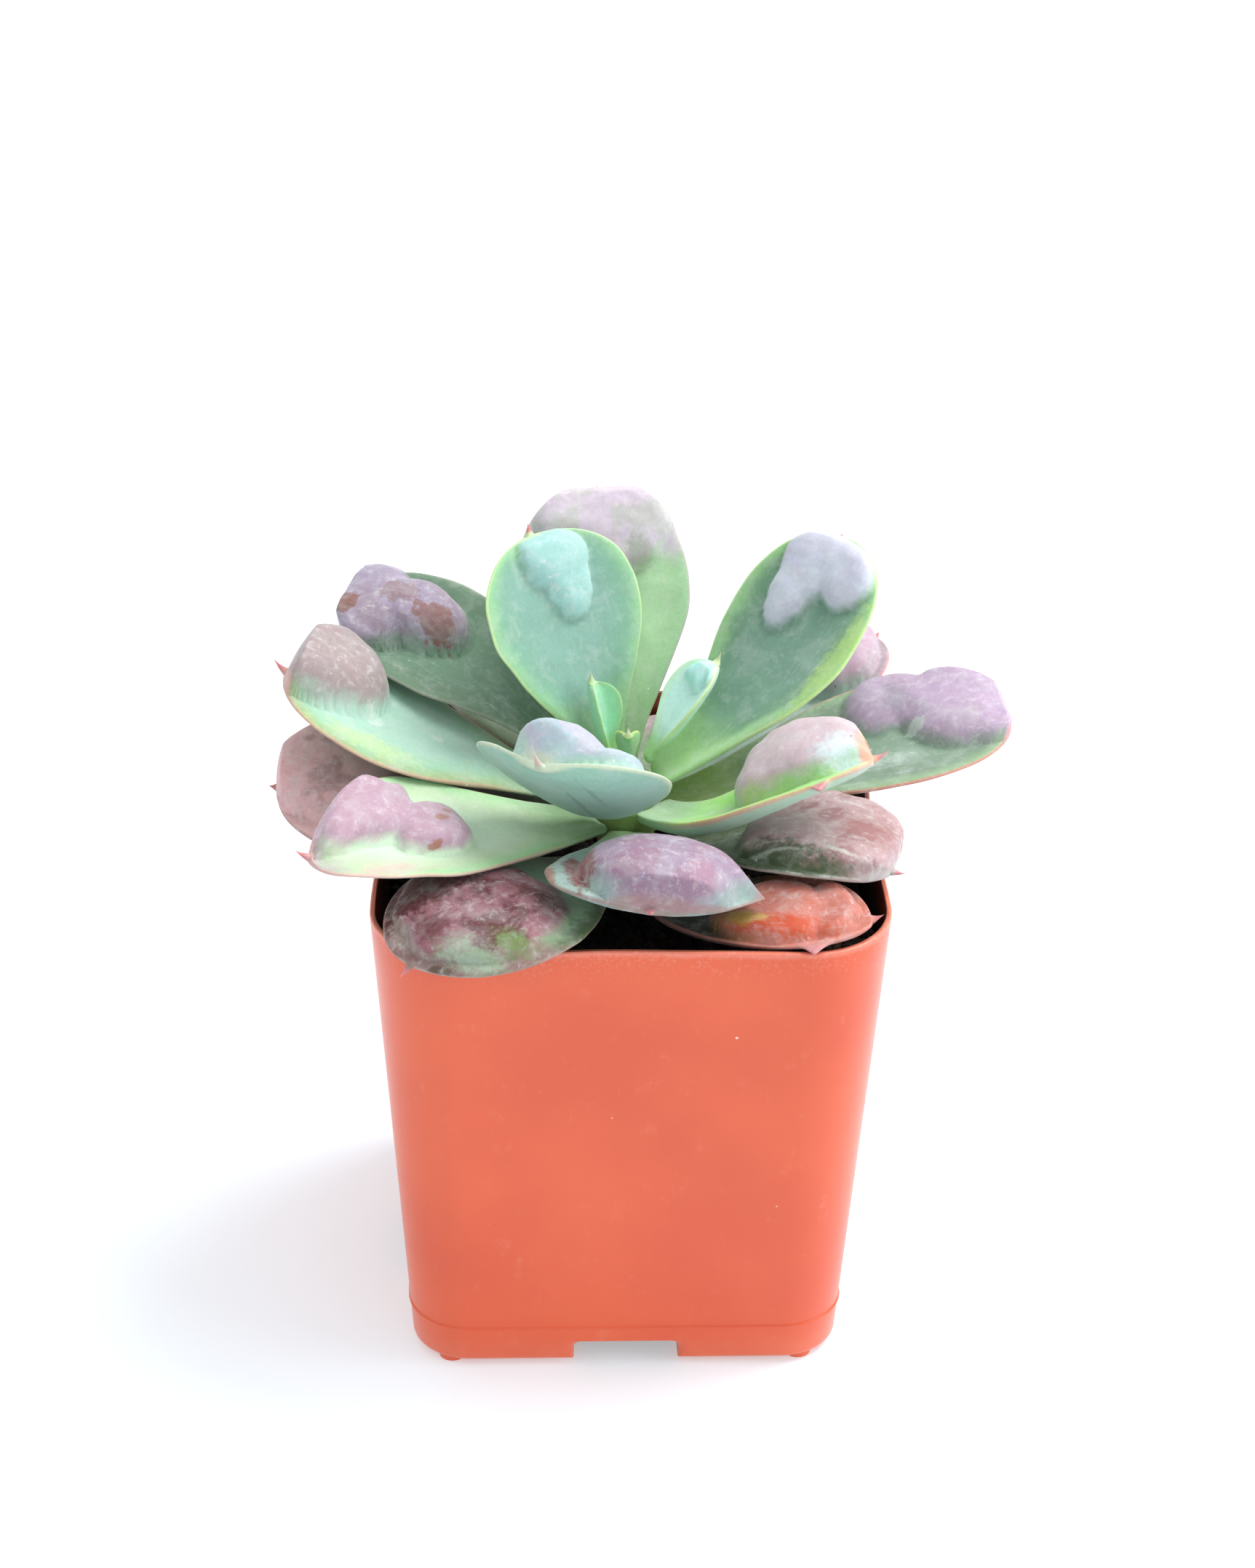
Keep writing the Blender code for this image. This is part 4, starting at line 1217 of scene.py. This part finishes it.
def fibre_shape(g, length, thickness):
    """A bent fibre."""
    line = g.node("GeometryNodeCurveQuadraticBezier", None, {
        "Resolution": 6, "Start": (-0.5, 0.0, 0.0), "Middle": (0.0, 0.25, 0.15), "End": (0.5, 0.0, 0.0),
    })
    stretch = g.joined(length, length, length)
    line = g.node("GeometryNodeTransform", None, {"Geometry": line, "Scale": stretch})
    section = g.node("GeometryNodeCurvePrimitiveCircle", None, {"Resolution": 5, "Radius": thickness * 0.5})
    values = {"Curve": line, "Profile Curve": section, "Fill Caps": True}
    return g.node("GeometryNodeCurveToMesh", None, values)


def drawn(g, kind, between, seed):
    """A random value for each point."""
    values = {"Min": between[0], "Max": between[1], "Seed": seed}
    return g.node("FunctionNodeRandomValue", {"data_type": kind}, values, "Value")


def crumbs_tree():
    """Scatters crumbs and fibres over the top of the potting mix."""
    g, given = geometry_tree("Potting mix crumbs", {
        "Finish": ("Material", None),
        "Crumbs per square metre": ("Float", 900000.0),
        "Smallest crumb": ("Float", 0.25 * MM),
        "Largest crumb": ("Float", 0.9 * MM),
        "Fibres per square metre": ("Float", 30000.0),
        "Fibre length": ("Float", 4.0 * MM),
        "Fibre thickness": ("Float", 0.18 * MM),
        "Top above": ("Float", 0.0),
        "Seed": ("Int", 5),
    })
    facing = g.parts(g.node("GeometryNodeInputNormal"))[2]
    x, y, z = g.parts(g.vector("SUBTRACT", g.node("GeometryNodeInputPosition"), (POT_X, POT_Y, 0.0)))
    top = (z > given["Top above"]) * (facing > 0.5)
    reach = g.most(abs(x), abs(y))

    def scattered(shape, kind, density, clear, turns, sizes, seeds):
        """Copies of a shape over the top, `clear` of the pot's walls; seeds for points, turns and sizes."""
        spots = g.node("GeometryNodeDistributePointsOnFaces", None, {
            "Mesh": given["Geometry"],
            "Selection": top * (reach < 0.5 * POT_WIDTH - clear),
            "Density": given[density],
            "Seed": given["Seed"] + seeds[0],
        }, "Points")
        return g.node("GeometryNodeInstanceOnPoints", None, {
            "Points": spots,
            "Instance": g.store(shape, "kind", kind),
            "Rotation": drawn(g, "FLOAT_VECTOR", turns, seeds[1]),
            "Scale": drawn(g, "FLOAT", sizes, seeds[2]),
        })

    any_way = ((0.0, 0.0, 0.0), (FULL_TURN, FULL_TURN, FULL_TURN))
    nearly_flat = ((-0.3, -0.3, 0.0), (0.3, 0.3, FULL_TURN))
    radii = (given["Smallest crumb"], given["Largest crumb"])
    fibre = fibre_shape(g, given["Fibre length"], given["Fibre thickness"])
    pieces = (
        g.store(given["Geometry"], "kind", 0.0),
        scattered(crumb_shape(g), 0.0, "Crumbs per square metre", 2.8 * MM, any_way, radii, (0, 1, 2)),
        scattered(fibre, 1.0, "Fibres per square metre", 4.2 * MM, nearly_flat, (0.5, 1.3), (100, 7, 102)),
    )
    joined = g.node("GeometryNodeJoinGeometry", None, None, None)
    for piece in pieces:
        g.tree.links.new(piece.socket, joined.inputs[0])
    return close_tree(g, Term(g, joined.outputs[0]), given["Finish"])


STEM_ROOT = 20.6 * MM  # below the rim
STEM_RINGS = 60
STEM_POINTS = 40


def stem_radius(z):
    """The stem's radius at a height: widest at its shoulder, with low rings where old leaves came away."""
    low, shoulder, summit = RIM - STEM_ROOT, RIM + SHOULDER * MM, RIM + SUMMIT * MM
    if z < shoulder:
        radius = 2.6 * MM + 0.8 * MM * (z - low) / (shoulder - low)
    else:
        radius = 3.4 * MM - 2.1 * MM * (z - shoulder) / (summit - shoulder)
    return radius + 0.09 * MM * math.sin(z / MM * 2.6)


def build_stem_mesh(finish):
    """A short ringed column, rounded at both ends."""
    low, summit = RIM - STEM_ROOT, RIM + SUMMIT * MM
    rings = []
    for i in range(STEM_RINGS + 1):
        z = low + (summit - low) * i / STEM_RINGS
        radius = stem_radius(z) * (0.6 if i in (0, STEM_RINGS) else 1.0)
        ring = []
        for k in range(STEM_POINTS):
            angle = 2 * math.pi * k / STEM_POINTS
            wobble = 0.15 * MM * noise.noise(Vector((math.cos(angle), math.sin(angle), z * 300)))
            reach = radius + wobble - 0.1 * MM
            ring.append(Vector((POT_X + reach * math.cos(angle), POT_Y + reach * math.sin(angle), z)))
        rings.append(ring)
    stem = add_object("stem_body", skin_rings(rings), finish)
    stem.data.shade_smooth()
    return stem


# ---------------------------------------------------------------- what a user may change


def colour_property(name, description, default):
    """A colour that a user may change."""
    return FloatVectorProperty(name=name, description=description, subtype="COLOR", default=default)


def amount_property(name, description, default):
    """A number from 0 up that a user may change."""
    return FloatProperty(name=name, description=description, default=default, min=0.0)


class SucculentProps(bpy.types.PropertyGroup):
    """Sizes and colours of the plant, its pot and the stage."""

    rings: IntProperty(name="Leaf rings", description="Rings of points along each leaf", default=120, min=20)
    points_round: IntProperty(
        name="Leaf points round", description="Points round each leaf", default=81, min=17)
    unevenness: amount_property("Unevenness", "How uneven the leaves' skin is, in mm", 0.35)
    powder: colour_property("Powder", "Colour of the powder on the leaves", tone("DDE3E0"))
    leaf_depth: amount_property("Leaf depth", "How light the leaves' colours are, as a share", 0.8)
    pot_colour: colour_property("Pot", "Colour of the pot's plastic", tone("DC582B"))
    pot_shade: colour_property("Pot shade", "Colour of the pot's deeper patches", tone("D44E25"))
    mix_colour: colour_property("Potting mix", "Colour of the damp peat", tone("140C08"))
    # The stem's green is set a little dark, as painted shade where it stands among the leaves.
    stem_colour: colour_property("Stem", "Colour of the stem's green flesh", tone("7F9F56"))
    crumbs: amount_property("Crumbs", "Crumbs of potting mix per square metre", 900000.0)
    crumb_size: FloatProperty(
        name="Crumb size", description="Radius of the largest crumb", default=0.9 * MM, unit="LENGTH")
    floor_colour: colour_property("Floor", "Colour of the floor", (0.60, 0.69, 0.75))
    floor_glow: amount_property("Floor glow", "How strongly the floor itself glows", 0.36)
    sky: amount_property("Surrounding light", "Strength of the even light", 0.92)
    key: amount_property("Main light", "Power of the main light, in watts", 7.5)


# ---------------------------------------------------------------- operators


class SUCCULENT_OT_leaves(bpy.types.Operator):
    """Grow every leaf of the rosette"""

    bl_idname = "succulent.leaves"
    bl_label = "Leaves"

    def execute(self, context):
        props = context.scene.succulent
        tree = blade_tree()
        for number, leaf in enumerate(LEAVES):
            obj = grow(spine_object(leaf), tree, self.sizes(leaf, number, props))
            if len(obj.data.polygons) == 0:
                raise RuntimeError(f"{leaf.name} has no skin")
            outward(obj)
            obj.name = leaf.name.replace("leaf", "blade", 1)
            keep(obj, [leaf.name])
        return {"FINISHED"}

    @staticmethod
    def sizes(leaf, number, props):
        """The tree's inputs for one leaf."""
        values = {
            "Finish": leaf_material(leaf, props),
            "Rings": props.rings,
            "Points round": props.points_round,
            "Length": leaf.length,
            "Left half": leaf.left,
            "Right half": leaf.right,
            "Curl": leaf.cup,
            "Thickness": leaf.thick,
            "Neck": leaf.neck,
            "Broadest at": leaf.broad,
            "Bluntness": leaf.blunt,
            "Point": leaf.point,
            "Unevenness": props.unevenness * min(1.0, leaf.length / 20),
            "Lean": (*leaf.lean, 0.0),
            "Veer": leaf.veer,
            "Raggedness": leaf.ragged,
            "Horn": (leaf.horn.along, leaf.horn.size, leaf.horn.width),
            "Horn tint": leaf.horn.tint,
            "Seed": 1.7 * number,
        }
        for i, lump in enumerate(leaf.lumps, 1):
            values[f"Lump {i} place"] = (lump.along, lump.across, math.radians(lump.turn))
            values[f"Lump {i} size"] = (lump.length, lump.width, lump.height)
        return values


class SUCCULENT_OT_pot(bpy.types.Operator):
    """Mould the square nursery pot"""

    bl_idname = "succulent.pot"
    bl_label = "Pot"

    def execute(self, context):
        pot = build_pot_mesh(pot_material(context.scene.succulent))
        if len(pot.data.polygons) < 1000:
            raise RuntimeError("the pot lost its walls in cutting")
        keep(pot, ["pot"])
        return {"FINISHED"}


class SUCCULENT_OT_potting_mix(bpy.types.Operator):
    """Fill the pot with potting mix and scatter crumbs over it"""

    bl_idname = "succulent.potting_mix"
    bl_label = "Potting mix"

    def execute(self, context):
        props = context.scene.succulent
        bed = build_bed()
        grow(bed, crumbs_tree(), {
            "Finish": mix_material(props),
            "Crumbs per square metre": props.crumbs,
            "Largest crumb": props.crumb_size,
            "Top above": RIM - 10.5 * MM,
        })
        bed.name = "mix_bed"
        keep(bed, ["potting_mix"])
        return {"FINISHED"}


class SUCCULENT_OT_stem(bpy.types.Operator):
    """Raise the short stem"""

    bl_idname = "succulent.stem"
    bl_label = "Stem"

    def execute(self, context):
        stem = build_stem_mesh(stem_material(context.scene.succulent))
        keep(stem, ["stem"])
        return {"FINISHED"}


# The point that the camera looks at, how far off it stands, and its angles in degrees
AIM = Vector((POT_X + 0.15 * MM, POT_Y, 62.84 * MM))
DISTANCE = 584.4 * MM
AZIMUTH = -2.48
ELEVATION = 31.55
TILT = 0.957
FILM = 36.0  # mm
LENS = 120.2  # mm
# Each lamp's name, place, diameter and power as a share of the main light's
LAMPS = (("main", (0.40, 0.15, 0.80), 0.6, 1.0), ("side", (0.80, -0.25, 0.28), 0.35, 0.25))
SKY_COLOUR = (0.965, 0.985, 1.0, 1.0)
FLOOR_SIZE = 4.0


class SUCCULENT_OT_stage(bpy.types.Operator):
    """Set out the floor, the lights and the camera"""

    bl_idname = "succulent.stage"
    bl_label = "Stage"

    def execute(self, context):
        props = context.scene.succulent
        self.floor(props)
        self.lights(context.scene, props)
        self.camera(context.scene)
        return {"FINISHED"}

    @staticmethod
    def floor(props):
        made, g = new_material("floor")
        cloudy = g.grain(g.place(), 30 * MM, 2.0)
        colour = g.mix(cloudy * 0.05, props.floor_colour, (1.0, 1.0, 1.0))
        close_material(g, {
            "Base Color": colour,
            "Roughness": 0.8,
            "Specular IOR Level": 0.2,
            "Emission Color": (1.0, 1.0, 1.0),
            "Emission Strength": props.floor_glow,
        })
        bm = bmesh.new()
        bmesh.ops.create_grid(bm, x_segments=8, y_segments=8, size=FLOOR_SIZE)
        add_object("floor", bm, made)

    @staticmethod
    def lights(scene, props):
        world = bpy.data.worlds.new("studio")
        scene.world = world
        world.use_nodes = True
        shade = world.node_tree.nodes["Background"]
        shade.inputs["Color"].default_value = SKY_COLOUR
        shade.inputs["Strength"].default_value = props.sky
        for name, place, size, share in LAMPS:
            lamp = bpy.data.lights.new(name, "AREA")
            lamp.shape = "DISK"
            lamp.size = size
            lamp.energy = share * props.key
            obj = bpy.data.objects.new(name, lamp)
            obj.location = Vector(place)
            obj.rotation_euler = (AIM - obj.location).to_track_quat("-Z", "Y").to_euler()
            scene.collection.objects.link(obj)
        scene.view_settings.view_transform = "Standard"

    @staticmethod
    def camera(scene):
        azimuth = math.radians(AZIMUTH)
        elevation = math.radians(ELEVATION)
        back = Vector((
            math.sin(azimuth) * math.cos(elevation),
            -math.cos(azimuth) * math.cos(elevation),
            math.sin(elevation),
        ))
        right = (-back).cross(Vector((0, 0, 1))).normalized()
        up = right.cross(-back)
        tilt = math.radians(TILT)
        right, up = (
            right * math.cos(tilt) + up * math.sin(tilt),
            up * math.cos(tilt) - right * math.sin(tilt),
        )
        lens = bpy.data.cameras.new("camera")
        lens.sensor_width = FILM
        lens.lens = LENS
        lens.clip_start = 0.01
        obj = bpy.data.objects.new("camera", lens)
        turn = Matrix((right, up, back)).transposed().to_4x4()
        obj.matrix_world = Matrix.Translation(AIM + back * DISTANCE) @ turn
        scene.collection.objects.link(obj)
        scene.camera = obj


class SUCCULENT_PT_panel(bpy.types.Panel):
    """Buttons and values for the potted succulent"""

    bl_idname = "SUCCULENT_PT_panel"
    bl_label = "Potted succulent"
    bl_space_type = "VIEW_3D"
    bl_region_type = "UI"
    bl_category = "Succulent"

    def draw(self, context):
        props = context.scene.succulent
        for name in props.__annotations__:
            self.layout.prop(props, name)
        for operator in OPERATORS:
            self.layout.operator(operator.bl_idname)


OPERATORS = (
    SUCCULENT_OT_pot,
    SUCCULENT_OT_potting_mix,
    SUCCULENT_OT_stem,
    SUCCULENT_OT_leaves,
    SUCCULENT_OT_stage,
)
CLASSES = (SucculentProps, *OPERATORS, SUCCULENT_PT_panel)


def register():
    for cls in CLASSES:
        bpy.utils.register_class(cls)
    bpy.types.Scene.succulent = PointerProperty(type=SucculentProps)


def unregister():
    del bpy.types.Scene.succulent
    for cls in reversed(CLASSES):
        bpy.utils.unregister_class(cls)


def main():
    register()
    bpy.ops.succulent.pot()
    bpy.ops.succulent.potting_mix()
    bpy.ops.succulent.stem()
    bpy.ops.succulent.leaves()
    bpy.ops.succulent.stage()


if __name__ == "__main__":
    main()
